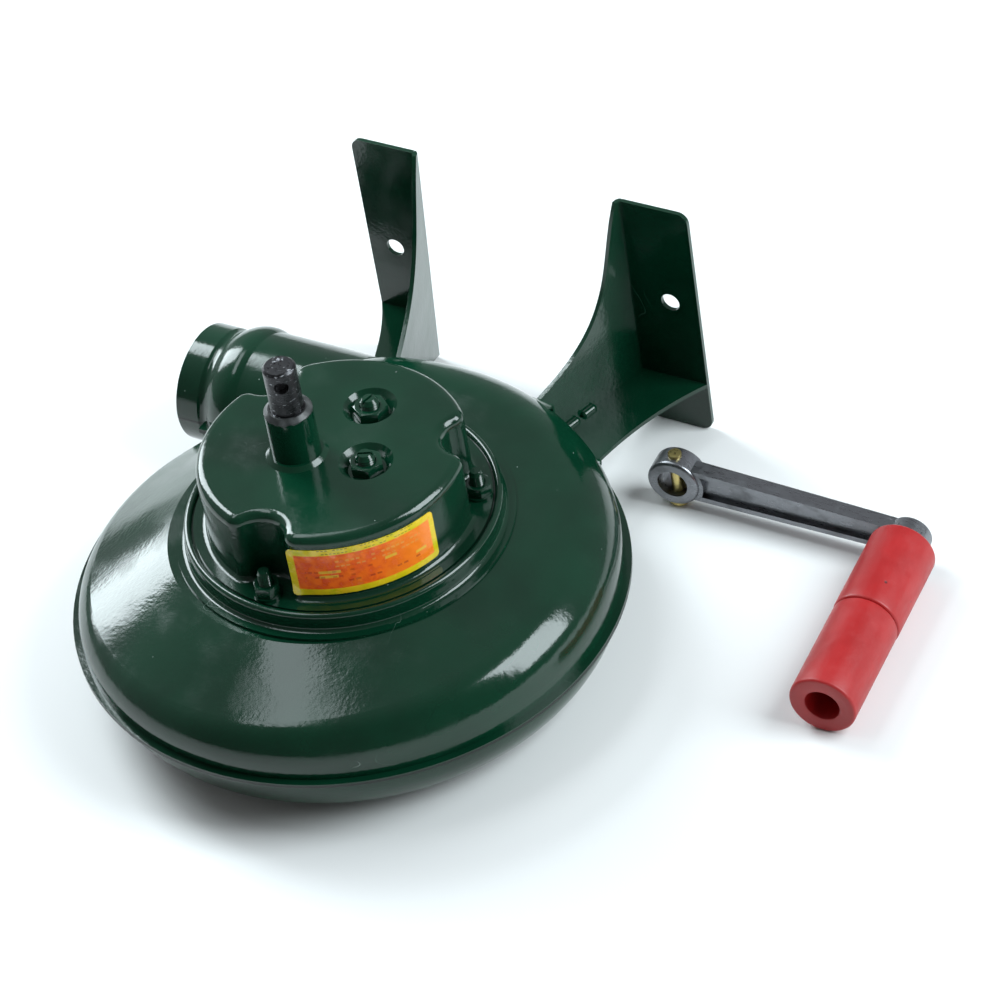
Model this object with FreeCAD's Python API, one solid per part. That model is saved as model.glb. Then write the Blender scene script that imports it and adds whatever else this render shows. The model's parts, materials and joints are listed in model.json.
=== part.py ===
"""Hand-crank forge blower, lying on its back, with the crank taken off beside it.

Frame: X to the right along the feet, Y towards the feet, Z up along the crank
shaft.  The pieces are drawn about the axis of the round housing, then moved
together so that the origin is under the middle of the whole part, on the
resting plane.  Sizes are in millimetres, angles in degrees.
"""
import FreeCAD
import Part
import math
import os

V = FreeCAD.Vector
UP = V(0, 0, 1)

# ---------------------------------------------------------------- housing
SHEET = 1.2                  # pressed steel of the shells, pan and cover
SEAM_Z = 31.0                # height of the seam between the half shells
LIP_R = 120.0                # outer radius of the seam lip
LIP_W = 3.0                  # width of the lip outside the wall
WALL_R = LIP_R - LIP_W       # outer radius of the housing wall
SHOULDER_MIN = 10.0          # rounding of the front shell where the scroll starts
SHOULDER_MAX = 26.0          # rounding beside the outlet
UPRIGHT_MIN = 0.6            # straight wall above the seam where the scroll starts
UPRIGHT_MAX = 13.4           # straight wall beside the outlet
SCROLL_START = 154.0         # direction where the scroll starts
SCROLL_FULL = 468.0          # direction where it is full, counted on past one turn
SCROLL_STEP = 12.0           # spacing of the sections
FACE_RISE = 34.8             # flat centre of the front shell above the seam
FACE_R = 73.0                # where the crown runs into the flat centre
FRONT_HOLE_R = 60.0          # opening under the gear pan
REAR_ROUND = 30.0            # rounding of the rear shell's edge

# ---------------------------------------------------------------- outlet
OUT_Y = 91.5                 # outlet axis
OUT_END = -129.0             # mouth of the outlet
OUT_BODY_R = 29.6            # pipe next to the housing
OUT_SLEEVE_R = 26.8          # end sleeve
OUT_BEAD_R = 30.4           # raised ring between pipe and sleeve
OUT_CREASE_R = 26.1          # groove between ring and sleeve
OUT_SLEEVE_L = 14.0          # length of the end sleeve
OUT_BEAD_X = 9.0             # from the groove to the top of the ring
OUT_LIP = 1.6                # width of the seam lip along the pipe
OUT_ROOT = 45.0              # where the pipe body ends inside the housing
OUT_TURN_X = -10.0           # centre and radius of the wall that leads into the pipe
OUT_TURN_Y = 11.0
OUT_TURN_R = 110.1

# ---------------------------------------------------------------- gear train
MODULE = 1.0
CRANK_TEETH = 47
LAY_PINION_TEETH = 14
LAY_TEETH = 56
FAN_PINION_TEETH = 13
PRESSURE = 20.0
GEAR_ADD = 0.80              # addendum of the large gears, in modules
PINION_ADD = 0.95            # addendum of the pinions, in modules
GEAR_DED = 1.25              # dedendum, in modules
BACKLASH = 0.12              # taken off the thickness of every tooth
SHAFT_X = -8.7               # crank shaft
SHAFT_Y = -6.4
LAY_DIR = 9.8                # direction from the crank shaft to the lay shaft
FAN_DIR = 117.2              # direction from the lay shaft to the fan shaft
GEAR_X = 2.5                 # centre of the gear pan and cover
GEAR_Y = 1.8
CRANK_R = 7.0                # free end of the crank shaft
JOURNAL_R = 7.5              # crank shaft inside the sleeve
CRANK_TOP = 155.0            # end of the crank shaft
RUN = 0.05                   # radial running clearance
SHAFT_R = 4.0                # lay and fan shaft radius
PILOT_R = 2.5                # pivot screw tip
PILOT_L = 6.0
LOW_GEAR_T = 7.0             # lay gear
HIGH_GEAR_T = 6.5            # crank gear
PINION_PROUD = 0.8           # pinion past each face of its gear
SHAFT_FOOT = 2.6             # crank shaft below its gear
GEAR_GAP = 0.8               # gap between pieces one above the other
WELD_NUT_H = 4.0

# ---------------------------------------------------------------- gear case
PAN_BASE_R = 72.3            # foot of the gear pan
PAN_WALL_R = 67.6            # wall of the gear pan
PAN_RISE = 7.6               # platform above the front shell's face
PAN_BEAD = 1.7               # radius of the bead round the platform
COVER_R = 57.0               # wall of the gear cover
COVER_H = 34.5               # top of the cover above the platform
COVER_FLANGE_R = 63.4
COVER_ROUND = 4.0            # rounding of the top edge
COVER_FOOT = 2.6             # flare into the flange
NOTCH_R = 11.5               # hollow in the wall beside each stud
NOTCH_CORNER = 6.0
STUD_PCR = 57.6              # pitch radius of the studs
STUD_DIR = -92.0             # direction of the first stud
STUD_N = 3
STUD_R = 3.0
STUD_H = 14.0                # stud above the platform
NUT_AF = 10.0
NUT_H = 5.0
WASHER_R = 6.0
WASHER_T = 1.2
DISH_R = 11.5                # dished recess round each pivot screw
DISH_FLAT_R = 8.0
DISH_DEEP = 4.0
SLEEVE_R = 10.2              # bearing sleeve of the crank shaft
SLEEVE_TOP = 133.0
SLEEVE_LOW = 103.0
PIVOT_R = 4.0                # pivot screws
PIVOT_UP = 8.4               # screw above the floor of its dish
LOCK_AF = 13.0
LOCK_H = 4.6
FIT = 0.15                   # clearance of parts that only slip together
BUSH_R = 7.0                 # shaft bushes pressed into the pan
BUSH_FLANGE_R = 9.0
BUSH_UP = 3.8                # bush above the platform

# ---------------------------------------------------------------- fan
FAN_R = 76.0
FAN_BLADES = 10
BLADE_T = 1.0
BLADE_IN = 30.0
BLADE_W = 38.0
FAN_PLATE_T = 1.2
FAN_PLATE_Z = 52.0
FAN_HUB_R = 10.0
FAN_HUB_L = 13.0
FAN_SHAFT_LOW = 37.0
INLET_R = 35.0
INLET_LIP = 5.0
INLET_LIP_R = 3.0

# ---------------------------------------------------------------- legs
LEG_T = 2.0                  # leg sheet
FOOT_Y = 170.8               # inner face of the foot plates
FOOT_IN = 51.5               # inner edge of each foot plate
FOOT_OUT = 84.0              # outer edge
FOOT_LOW = 0.4
FOOT_TOP = 122.4
FOOT_CORNER = 5.0
WEB_IN = 35.5                # inner edge of each leg at the housing
WEB_IN_Y = 114.5
SHELF_TOP = 27.5             # upper face of the flat web
SHELF_OUT = 61.0             # outer edge of the flat web at the housing
SHELF_OUT_Y = 106.0
WEB_END_Z = 52.5             # height of the upright web at the housing
FOOT_HOLE_R = 4.4
FOOT_HOLE_X = 70.6
FOOT_HOLE_Z_RIGHT = 71.0
FOOT_HOLE_Z_LEFT = 63.5
LEAN_RIGHT = 0.0             # lean of each upright web, its foot outwards
LEAN_LEFT = 3.8
WELD_R = 1.9

# ---------------------------------------------------------------- crank
ARM_THROW = 110.7            # hub centre to grip centre
HUB_R = 12.0
HUB_L = 12.0
CRANK_BORE_R = CRANK_R + RUN
ARM_T = 7.6                  # thickness of the arm along the hub
ARM_H_HUB = 17.0
ARM_H_GRIP = 12.5
ARM_END_R = 9.5
ARM_RIB = 2.6                # rim left round the hollow in each face
ARM_DEEP = 2.4
ARM_SET = 2.2                # front face of the arm behind the hub face
ARM_REACH = 9.6              # how far the arm leans forward at the grip
BOSS_L = 10.6                # length of the grip boss
GRIP_R = 14.6
GRIP_L = 97.0
GRIP_SPLIT = 51.0            # seam of the grip from its open end
GRIP_STEP = 0.25             # step at that seam
GRIP_HOLE_R = 7.5
GRIP_HOLE_L = 34.0
GRIP_PIN_R = 4.0
GRIP_PLAY = 0.6              # gap between grip and arm
SCREW_R = 3.0
SCREW_HEAD_R = 4.9
SCREW_HEAD_H = 2.4
CROSS_HOLE_R = 3.0
CROSS_HOLE_Z = 148.4
HUB_X = 91.7                 # hub face centre beside the blower
HUB_Y = 118.5
CRANK_TURN = 4.5             # the crank's turn on the resting plane
LABEL_FROM = -79.5
LABEL_TO = -14.5
LABEL_T = 0.3
LABEL_H = 24.6
LABEL_UP = 0.5               # gap above the cover's foot

# ---------------------------------------------------------------- derived
FACE_Z = SEAM_Z + FACE_RISE
PLAT_Z = FACE_Z + PAN_RISE
COVER_Z = PLAT_Z + COVER_H
FLANGE_Z = PLAT_Z + SHEET
DISH_Z = COVER_Z - DISH_DEEP
C1 = MODULE * (CRANK_TEETH + LAY_PINION_TEETH) / 2.0
C2 = MODULE * (LAY_TEETH + FAN_PINION_TEETH) / 2.0
LAY_X = SHAFT_X + C1 * math.cos(math.radians(LAY_DIR))
LAY_Y = SHAFT_Y + C1 * math.sin(math.radians(LAY_DIR))
FAN_X = LAY_X + C2 * math.cos(math.radians(FAN_DIR))
FAN_Y = LAY_Y + C2 * math.sin(math.radians(FAN_DIR))
LOW_GEAR_Z = PLAT_Z + BUSH_UP + PINION_PROUD + GEAR_GAP
HIGH_GEAR_Z = LOW_GEAR_Z + LOW_GEAR_T + SHAFT_FOOT + GEAR_GAP
GRIP_Z = GRIP_R + GRIP_STEP
PIVOT_TIP = DISH_Z - SHEET - WELD_NUT_H - 1.4


def at(shape, x, y, z):
    s = shape.copy()
    s.translate(V(x, y, z))
    return s


def cyl(r, h, x=0.0, y=0.0, z=0.0, d=UP):
    return Part.makeCylinder(r, h, V(x, y, z), d)


def tube(ro, ri, h, x=0.0, y=0.0, z=0.0):
    return cyl(ro, h, x, y, z).cut(cyl(ri, h + 2.0, x, y, z - 1.0))


def box(x0, x1, y0, y1, z0, z1):
    return Part.makeBox(x1 - x0, y1 - y0, z1 - z0, V(x0, y0, z0))


def line(a, b):
    return Part.LineSegment(a, b).toShape()


def arc(a, m, b):
    return Part.Arc(a, m, b).toShape()


def polygon(points):
    return Part.Face(Part.makePolygon(points + [points[0]]))


def hexagon(af, h, x, y, z, turn=0.0):
    r = af / math.sqrt(3.0)
    pts = []
    for i in range(6):
        a = math.radians(60.0 * i + turn)
        pts.append(V(x + r * math.cos(a), y + r * math.sin(a), z))
    return polygon(pts).extrude(V(0, 0, h))


def mirror_x(shape):
    return shape.mirror(V(0, 0, 0), V(1, 0, 0))


def export(shape, name):
    shape.exportStep(os.path.join("parts", name + ".step"))


# ---------------------------------------------------------------- shells
def scroll(direction):
    """How far the scroll has grown at a direction, 0 at its start and 1 when full."""
    a = direction
    while a < SCROLL_START:
        a += 360.0
    if a <= SCROLL_FULL:
        return (a - SCROLL_START) / (SCROLL_FULL - SCROLL_START)
    back = (a - SCROLL_FULL) / (SCROLL_START + 360.0 - SCROLL_FULL)
    return 0.5 + 0.5 * math.cos(math.pi * back)


def section(direction, t):
    """Closed section of the front shell's dome, moved inwards by t."""
    g = scroll(direction)
    rho = SHOULDER_MIN + (SHOULDER_MAX - SHOULDER_MIN) * g ** 0.85
    up = UPRIGHT_MIN + (UPRIGHT_MAX - UPRIGHT_MIN) * g
    cx = WALL_R - rho
    cz = SEAM_Z + up
    dx = cx - FACE_R
    dz = FACE_Z - cz
    tilt = math.atan2(dz, dx) - math.asin(rho / math.hypot(dx, dz))
    r = rho - t
    face = V(FACE_R - t * math.tan(tilt / 2.0), 0, FACE_Z - t)
    touch = V(cx + r * math.sin(tilt), 0, cz + r * math.cos(tilt))
    half = (tilt + math.pi / 2.0) / 2.0
    mid = V(cx + r * math.sin(half), 0, cz + r * math.cos(half))
    wall = WALL_R - t
    low = SEAM_Z - 6.0
    root = FRONT_HOLE_R - 4.0
    edges = [
        line(V(root, 0, low), V(wall, 0, low)),
        line(V(wall, 0, low), V(wall, 0, cz)),
        arc(V(wall, 0, cz), mid, touch),
        line(touch, face),
        line(face, V(root, 0, FACE_Z - t)),
        line(V(root, 0, FACE_Z - t), V(root, 0, low)),
    ]
    wire = Part.Wire(edges)
    wire.rotate(V(0, 0, 0), UP, direction)
    return wire


def front_body(t):
    """Front half of the housing: the growing dome and its flat centre."""
    count = int(round(360.0 / SCROLL_STEP))
    wires = [section(360.0 * i / count, t) for i in range(count)]
    dome = Part.makeLoft(wires, True, False, True)
    core = cyl(FRONT_HOLE_R, FACE_RISE - t + 6.0, 0, 0, SEAM_Z - 6.0)
    return dome.fuse(core)


def rear_body(t):
    """Rear half of the housing, a body of revolution."""
    wr = WALL_R - t
    rr = REAR_ROUND - t
    cr = V(WALL_R - REAR_ROUND, 0, REAR_ROUND)
    k = math.sqrt(0.5)
    top = SEAM_Z + 6.0
    edges = [
        line(V(0, 0, t), V(cr.x, 0, t)),
        arc(V(cr.x, 0, t), V(cr.x + rr * k, 0, cr.z - rr * k), V(wr, 0, cr.z)),
        line(V(wr, 0, cr.z), V(wr, 0, top)),
        line(V(wr, 0, top), V(0, 0, top)),
        line(V(0, 0, top), V(0, 0, t)),
    ]
    return Part.Face(Part.Wire(edges)).revolve(V(0, 0, 0), UP, 360)


def pipe_body(t, end):
    """Outlet pipe, ring and sleeve about their own axis, moved inwards by t."""
    groove = OUT_END + OUT_SLEEVE_L
    bead = groove + OUT_BEAD_X
    flat = bead + OUT_BEAD_X
    mid = (OUT_BEAD_R + OUT_CREASE_R) / 2.0
    shape = Part.BSplineCurve()
    shape.interpolate([
        V(groove - 3.0, OUT_SLEEVE_R - t, 0),
        V(groove, OUT_CREASE_R - t, 0),
        V(groove + OUT_BEAD_X * 0.45, mid - t, 0),
        V(bead, OUT_BEAD_R - t, 0),
        V(flat, OUT_BODY_R - t, 0),
    ])
    edges = [
        line(V(end, 0, 0), V(end, OUT_SLEEVE_R - t, 0)),
        line(V(end, OUT_SLEEVE_R - t, 0), V(groove - 3.0, OUT_SLEEVE_R - t, 0)),
        shape.toShape(),
        line(V(flat, OUT_BODY_R - t, 0), V(OUT_ROOT, OUT_BODY_R - t, 0)),
        line(V(OUT_ROOT, OUT_BODY_R - t, 0), V(OUT_ROOT, 0, 0)),
        line(V(OUT_ROOT, 0, 0), V(end, 0, 0)),
    ]
    solid = Part.Face(Part.Wire(edges)).revolve(V(0, 0, 0), V(1, 0, 0), 360)
    solid = at(solid, 0, OUT_Y, SEAM_Z)
    turn = cyl(OUT_TURN_R - t, 200.0, OUT_TURN_X, OUT_TURN_Y, -50.0)
    ahead = box(-300.0, OUT_TURN_X, -50.0, 300.0, -50.0, 150.0)
    return solid.common(turn.fuse(ahead))


def outer_body():
    return front_body(0.0), rear_body(0.0), pipe_body(0.0, OUT_END)


def inner_body():
    return front_body(SHEET), rear_body(SHEET), pipe_body(SHEET, OUT_END - 5.0)


def lip_plate(z):
    """Seam lip round the housing and along both sides of the pipe."""
    ring = cyl(LIP_R, SHEET, 0, 0, z)
    turn = cyl(OUT_TURN_R + LIP_W, SHEET, OUT_TURN_X, OUT_TURN_Y, z)
    keep = box(OUT_TURN_X, 100.0, 0.0, 150.0, z, z + SHEET)
    half = OUT_BODY_R + OUT_LIP
    body = box(OUT_END + OUT_SLEEVE_L, OUT_TURN_X, OUT_Y - half, OUT_Y + half, z, z + SHEET)
    return ring.fuse(turn.common(keep)).fuse(body)


def big_box(z0, z1):
    return box(-300.0, 300.0, -300.0, 300.0, z0, z1)


def front_shell():
    upper = big_box(SEAM_Z, 200.0)
    out_f, out_r, out_p = outer_body()
    in_f, in_r, in_p = inner_body()
    shell = out_f.fuse(out_p).common(upper)
    shell = shell.fuse(lip_plate(SEAM_Z))
    shell = shell.cut(in_f).cut(in_p)
    shell = shell.cut(cyl(FRONT_HOLE_R, 40.0, GEAR_X, GEAR_Y, FACE_Z - 20.0))
    return max(shell.Solids, key=lambda k: k.Volume)


def inlet_cut():
    """Solid of revolution of the inlet: a hole whose edge turns inwards."""
    r = INLET_R
    q = INLET_LIP_R
    k = math.sqrt(0.5)
    edges = [
        line(V(0, 0, -1.0), V(r + q, 0, -1.0)),
        line(V(r + q, 0, -1.0), V(r + q, 0, 0.0)),
        arc(V(r + q, 0, 0.0), V(r + q * (1 - k), 0, q * (1 - k)), V(r, 0, q)),
        line(V(r, 0, q), V(r, 0, INLET_LIP + 1.0)),
        line(V(r, 0, INLET_LIP + 1.0), V(0, 0, INLET_LIP + 1.0)),
        line(V(0, 0, INLET_LIP + 1.0), V(0, 0, -1.0)),
    ]
    cut = Part.Face(Part.Wire(edges)).revolve(V(0, 0, 0), UP, 360)
    return at(cut, FAN_X, FAN_Y, 0.0)


def rear_shell():
    lower = big_box(-1.0, SEAM_Z)
    out_f, out_r, out_p = outer_body()
    in_f, in_r, in_p = inner_body()
    shell = out_r.fuse(out_p).common(lower)
    shell = shell.fuse(lip_plate(SEAM_Z - SHEET))
    shell = shell.cut(in_r).cut(in_p)
    q = INLET_LIP_R
    collar = cyl(INLET_R + SHEET, INLET_LIP, FAN_X, FAN_Y, 0.0)
    flare = Part.makeCone(INLET_R + q + SHEET, INLET_R + SHEET, q,
                          V(FAN_X, FAN_Y, SHEET * 0.5))
    shell = shell.fuse(collar).fuse(flare).cut(inlet_cut()).removeSplitter()
    return max(shell.Solids, key=lambda k: k.Volume)


# ---------------------------------------------------------------- gear case
def gear_pan():
    b = PAN_BEAD
    rb = PAN_WALL_R - b
    top = PLAT_Z + 0.4
    k = math.sqrt(0.5)
    foot = FACE_Z + SHEET
    edges = [
        line(V(0, 0, PLAT_Z), V(rb - b, 0, PLAT_Z)),
        line(V(rb - b, 0, PLAT_Z), V(rb - b, 0, top)),
        arc(V(rb - b, 0, top), V(rb, 0, top + b), V(rb + b, 0, top)),
        line(V(rb + b, 0, top), V(PAN_WALL_R, 0, foot + 2.0)),
        arc(V(PAN_WALL_R, 0, foot + 2.0),
            V(PAN_WALL_R + 2.0 * (1 - k), 0, foot + 2.0 * (1 - k)),
            V(PAN_WALL_R + 2.0, 0, foot)),
        line(V(PAN_WALL_R + 2.0, 0, foot), V(PAN_BASE_R, 0, foot)),
        line(V(PAN_BASE_R, 0, foot), V(PAN_BASE_R, 0, FACE_Z)),
        line(V(PAN_BASE_R, 0, FACE_Z), V(PAN_WALL_R - SHEET, 0, FACE_Z)),
        line(V(PAN_WALL_R - SHEET, 0, FACE_Z), V(PAN_WALL_R - SHEET, 0, PLAT_Z - SHEET)),
        line(V(PAN_WALL_R - SHEET, 0, PLAT_Z - SHEET), V(0, 0, PLAT_Z - SHEET)),
        line(V(0, 0, PLAT_Z - SHEET), V(0, 0, PLAT_Z)),
    ]
    pan = Part.Face(Part.Wire(edges)).revolve(V(0, 0, 0), UP, 360)
    pan = at(pan, GEAR_X, GEAR_Y, 0.0)
    for x, y in stud_places():
        pan = pan.cut(cyl(STUD_R, 20.0, x, y, PLAT_Z - 10.0))
    pan = pan.cut(cyl(BUSH_R, 20.0, LAY_X, LAY_Y, PLAT_Z - 10.0))
    return pan.cut(cyl(BUSH_R, 20.0, FAN_X, FAN_Y, PLAT_Z - 10.0))






def stud_places():
    out = []
    for i in range(STUD_N):
        a = math.radians(STUD_DIR + 360.0 * i / STUD_N)
        out.append((GEAR_X + STUD_PCR * math.cos(a), GEAR_Y + STUD_PCR * math.sin(a)))
    return out


def cover_block(t, z0, z1):
    """Cover outline with its three hollows, moved inwards by t."""
    block = cyl(COVER_R - t, z1 - z0, GEAR_X, GEAR_Y, z0)
    for x, y in stud_places():
        block = block.cut(cyl(NOTCH_R + t, z1 - z0 + 2.0, x, y, z0 - 1.0))
    block = max(block.Solids, key=lambda s: s.Volume)
    upright = []
    for e in block.Edges:
        a = e.Vertexes[0].Point
        b = e.Vertexes[-1].Point
        if abs(a.x - b.x) < 1e-6 and abs(a.y - b.y) < 1e-6 and abs(a.z - b.z) > 1.0:
            upright.append(e)
    block = block.makeFillet(NOTCH_CORNER - t, upright)
    rim = []
    for e in block.Edges:
        if all(abs(v.Point.z - z1) < 1e-6 for v in e.Vertexes):
            if abs(e.CenterOfMass.z - z1) < 1e-6:
                rim.append(e)
    return block.makeFillet(COVER_ROUND - t, rim)


def dish(t, x, y):
    """Dished recess for a pivot screw; t moves its faces down and outwards."""
    return Part.makeCone(DISH_FLAT_R + t, DISH_R + t * 1.6, DISH_DEEP + 0.01 + t * 0.3,
                         V(x, y, DISH_Z - t))


def gear_cover():
    outer = cover_block(0.0, PLAT_Z, COVER_Z)
    flange = cyl(COVER_FLANGE_R, SHEET, GEAR_X, GEAR_Y, PLAT_Z)
    outer = outer.fuse(flange).removeSplitter()
    foot = []
    for e in outer.Edges:
        mid = e.CenterOfMass
        near = math.hypot(e.Vertexes[0].Point.x - GEAR_X, e.Vertexes[0].Point.y - GEAR_Y)
        if abs(mid.z - FLANGE_Z) < 1e-4 and near < COVER_FLANGE_R - 0.5:
            if all(abs(v.Point.z - FLANGE_Z) < 1e-4 for v in e.Vertexes):
                foot.append(e)
    outer = outer.makeFillet(COVER_FOOT, foot)
    inner = cover_block(SHEET, PLAT_Z - 1.0, COVER_Z - SHEET)
    for x, y in ((LAY_X, LAY_Y), (FAN_X, FAN_Y)):
        outer = outer.cut(dish(0.0, x, y))
        inner = inner.cut(dish(SHEET, x, y))
    cover = outer.cut(inner)
    collar = Part.makeCone(SLEEVE_R + 3.0, SLEEVE_R + SHEET, 1.8, V(SHAFT_X, SHAFT_Y, COVER_Z))
    cover = cover.fuse(collar)
    cover = cover.cut(cyl(SLEEVE_R, 60.0, SHAFT_X, SHAFT_Y, COVER_Z - 20.0))
    for x, y in ((LAY_X, LAY_Y), (FAN_X, FAN_Y)):
        cover = cover.cut(cyl(PIVOT_R, 20.0, x, y, DISH_Z - 10.0))
    for x, y in stud_places():
        cover = cover.cut(cyl(STUD_R + FIT, 10.0, x, y, PLAT_Z - 2.0))
    return max(cover.Solids, key=lambda s: s.Volume)


def cover_studs():
    out = []
    for x, y in stud_places():
        s = cyl(STUD_R, SHEET + STUD_H, x, y, PLAT_Z - SHEET)
        head = cyl(STUD_R * 1.9, 1.5, x, y, PLAT_Z - SHEET - 1.5)
        out.append(s.fuse(head).removeSplitter())
    return Part.makeCompound(out)


def cover_washers():
    out = []
    for x, y in stud_places():
        out.append(tube(WASHER_R, STUD_R + FIT, WASHER_T, x, y, FLANGE_Z))
    return Part.makeCompound(out)


def cover_nuts():
    out = []
    for x, y in stud_places():
        n = hexagon(NUT_AF, NUT_H, x, y, FLANGE_Z + WASHER_T, 12.0)
        out.append(n.cut(cyl(STUD_R, NUT_H + 2.0, x, y, FLANGE_Z)))
    return Part.makeCompound(out)


def crank_sleeve():
    h = SLEEVE_TOP - SLEEVE_LOW
    s = cyl(SLEEVE_R, h - 1.6, SHAFT_X, SHAFT_Y, SLEEVE_LOW)
    tip = Part.makeCone(SLEEVE_R, SLEEVE_R - 1.9, 1.6, V(SHAFT_X, SHAFT_Y, SLEEVE_TOP - 1.6))
    s = s.fuse(tip)
    ring = cyl(SLEEVE_R + 2.5, COVER_Z - SHEET - SLEEVE_LOW, SHAFT_X, SHAFT_Y, SLEEVE_LOW)
    s = s.fuse(ring)
    return s.cut(cyl(JOURNAL_R + RUN, h + 2.0, SHAFT_X, SHAFT_Y, SLEEVE_LOW - 1.0))


def weld_nuts():
    out = []
    for x, y in ((LAY_X, LAY_Y), (FAN_X, FAN_Y)):
        out.append(tube(DISH_FLAT_R - 0.6, PIVOT_R, WELD_NUT_H, x, y, DISH_Z - SHEET - WELD_NUT_H))
    return Part.makeCompound(out)


def pivot_screws():
    out = []
    for x, y in ((LAY_X, LAY_Y), (FAN_X, FAN_Y)):
        top = DISH_Z + PIVOT_UP
        s = cyl(PIVOT_R, top - 2.4 - PIVOT_TIP, x, y, PIVOT_TIP)
        s = s.fuse(Part.makeCone(PIVOT_R, PIVOT_R * 0.68, 1.2, V(x, y, top - 2.4)))
        s = s.fuse(cyl(PIVOT_R * 0.68, 1.2, x, y, top - 1.2))
        s = s.fuse(cyl(PILOT_R, PILOT_L, x, y, PIVOT_TIP - PILOT_L))
        out.append(s)
    return Part.makeCompound(out)


def lock_nuts():
    out = []
    for i, (x, y) in enumerate(((LAY_X, LAY_Y), (FAN_X, FAN_Y))):
        n = hexagon(LOCK_AF, LOCK_H, x, y, DISH_Z, 8.0 + 17.0 * i)
        top = Part.makeCone(LOCK_AF * 0.72, LOCK_AF * 0.44, LOCK_H, V(x, y, DISH_Z))
        keep = cyl(LOCK_AF * 0.56, LOCK_H, x, y, DISH_Z)
        n = n.common(top.fuse(keep.common(n)))
        n = n.common(Part.makeCone(LOCK_AF * 0.9, LOCK_AF * 0.5, LOCK_H, V(x, y, DISH_Z)))
        out.append(n.cut(cyl(PIVOT_R, LOCK_H + 2.0, x, y, DISH_Z - 1.0)))
    return Part.makeCompound(out)


def label():
    z0 = FLANGE_Z + COVER_FOOT + LABEL_UP
    turn = LABEL_TO - LABEL_FROM
    sector = Part.makeCylinder(COVER_R + LABEL_T, LABEL_H, V(0, 0, 0), UP, turn)
    sector = sector.cut(cyl(COVER_R, LABEL_H + 2.0, 0, 0, -1.0))
    sector.rotate(V(0, 0, 0), UP, LABEL_FROM)
    return at(sector, GEAR_X, GEAR_Y, z0)


# ---------------------------------------------------------------- gears
def gear_outline(teeth, add, x, y, z, phase):
    """Closed involute outline with the first tooth centred on phase."""
    rp = MODULE * teeth / 2.0
    rb = rp * math.cos(math.radians(PRESSURE))
    ra = rp + add * MODULE
    rf = rp - GEAR_DED * MODULE
    inv = math.tan(math.radians(PRESSURE)) - math.radians(PRESSURE)
    half = math.pi / (2.0 * teeth) - BACKLASH / (2.0 * rp)
    steps = 6
    side = []
    low = max(rb, rf)
    if rf < rb:
        side.append((rf, half + inv))
    for i in range(steps + 1):
        r = low + (ra - low) * i / steps
        ang = math.acos(min(1.0, rb / r))
        side.append((r, half + inv - (math.tan(ang) - ang)))
    pts = []
    for k in range(teeth):
        c = phase + 2.0 * math.pi * k / teeth
        for r, a in side:
            pts.append(V(x + r * math.cos(c - a), y + r * math.sin(c - a), z))
        for r, a in reversed(side):
            pts.append(V(x + r * math.cos(c + a), y + r * math.sin(c + a), z))
    return pts


def gear_disc(teeth, add, x, y, z, h, phase, bore):
    disc = polygon(gear_outline(teeth, add, x, y, z, phase)).extrude(V(0, 0, h))
    return disc.cut(cyl(bore, h + 2.0, x, y, z - 1.0))


def mesh_phase(teeth, toward):
    """A gap, not a tooth, on the line towards the driving gear."""
    return math.radians(toward) + math.pi / teeth


def crank_gear():
    g = gear_disc(CRANK_TEETH, GEAR_ADD, SHAFT_X, SHAFT_Y, HIGH_GEAR_Z, HIGH_GEAR_T,
                  math.radians(LAY_DIR), JOURNAL_R)
    for i in range(4):
        a = math.radians(45.0 + 90.0 * i)
        d = 14.5 * MODULE
        g = g.cut(cyl(4.0, 20.0, SHAFT_X + d * math.cos(a), SHAFT_Y + d * math.sin(a),
                      HIGH_GEAR_Z - 2.0))
    return g


def crank_shaft():
    low = HIGH_GEAR_Z - SHAFT_FOOT
    s = cyl(JOURNAL_R, SLEEVE_TOP - low, SHAFT_X, SHAFT_Y, low)
    s = s.fuse(cyl(CRANK_R, CRANK_TOP - SLEEVE_TOP - 1.0, SHAFT_X, SHAFT_Y, SLEEVE_TOP))
    s = s.fuse(Part.makeCone(CRANK_R, CRANK_R - 1.0, 1.0, V(SHAFT_X, SHAFT_Y, CRANK_TOP - 1.0)))
    d = V(0.53, -0.85, 0)
    d.normalize()
    hole = Part.makeCylinder(CROSS_HOLE_R, 40.0,
                             V(SHAFT_X, SHAFT_Y, CROSS_HOLE_Z) - d * 20.0, d)
    groove = tube(JOURNAL_R + 1.0, JOURNAL_R - 0.8, 1.2, SHAFT_X, SHAFT_Y, HIGH_GEAR_Z - 1.2)
    return s.cut(hole).cut(groove).removeSplitter()


def shaft_clip():
    ring = tube(JOURNAL_R + 2.4, JOURNAL_R - 0.8, 1.2, SHAFT_X, SHAFT_Y, HIGH_GEAR_Z - 1.2)
    gap = box(SHAFT_X - 20.0, SHAFT_X, SHAFT_Y - 2.5, SHAFT_Y + 2.5,
              HIGH_GEAR_Z - 2.0, HIGH_GEAR_Z + 2.0)
    return ring.cut(gap)


def shaft_spacer():
    z = HIGH_GEAR_Z + HIGH_GEAR_T
    return tube(JOURNAL_R + 3.0, JOURNAL_R, SLEEVE_LOW - z - FIT, SHAFT_X, SHAFT_Y, z)


def side_shaft(x, y, low):
    s = cyl(SHAFT_R, PIVOT_TIP - 0.4 - low, x, y, low)
    return s.cut(cyl(PILOT_R + RUN, PILOT_L + 1.0, x, y, PIVOT_TIP - PILOT_L - 0.6))


def lay_shaft():
    return side_shaft(LAY_X, LAY_Y, PLAT_Z - SHEET - 1.0)


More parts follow.
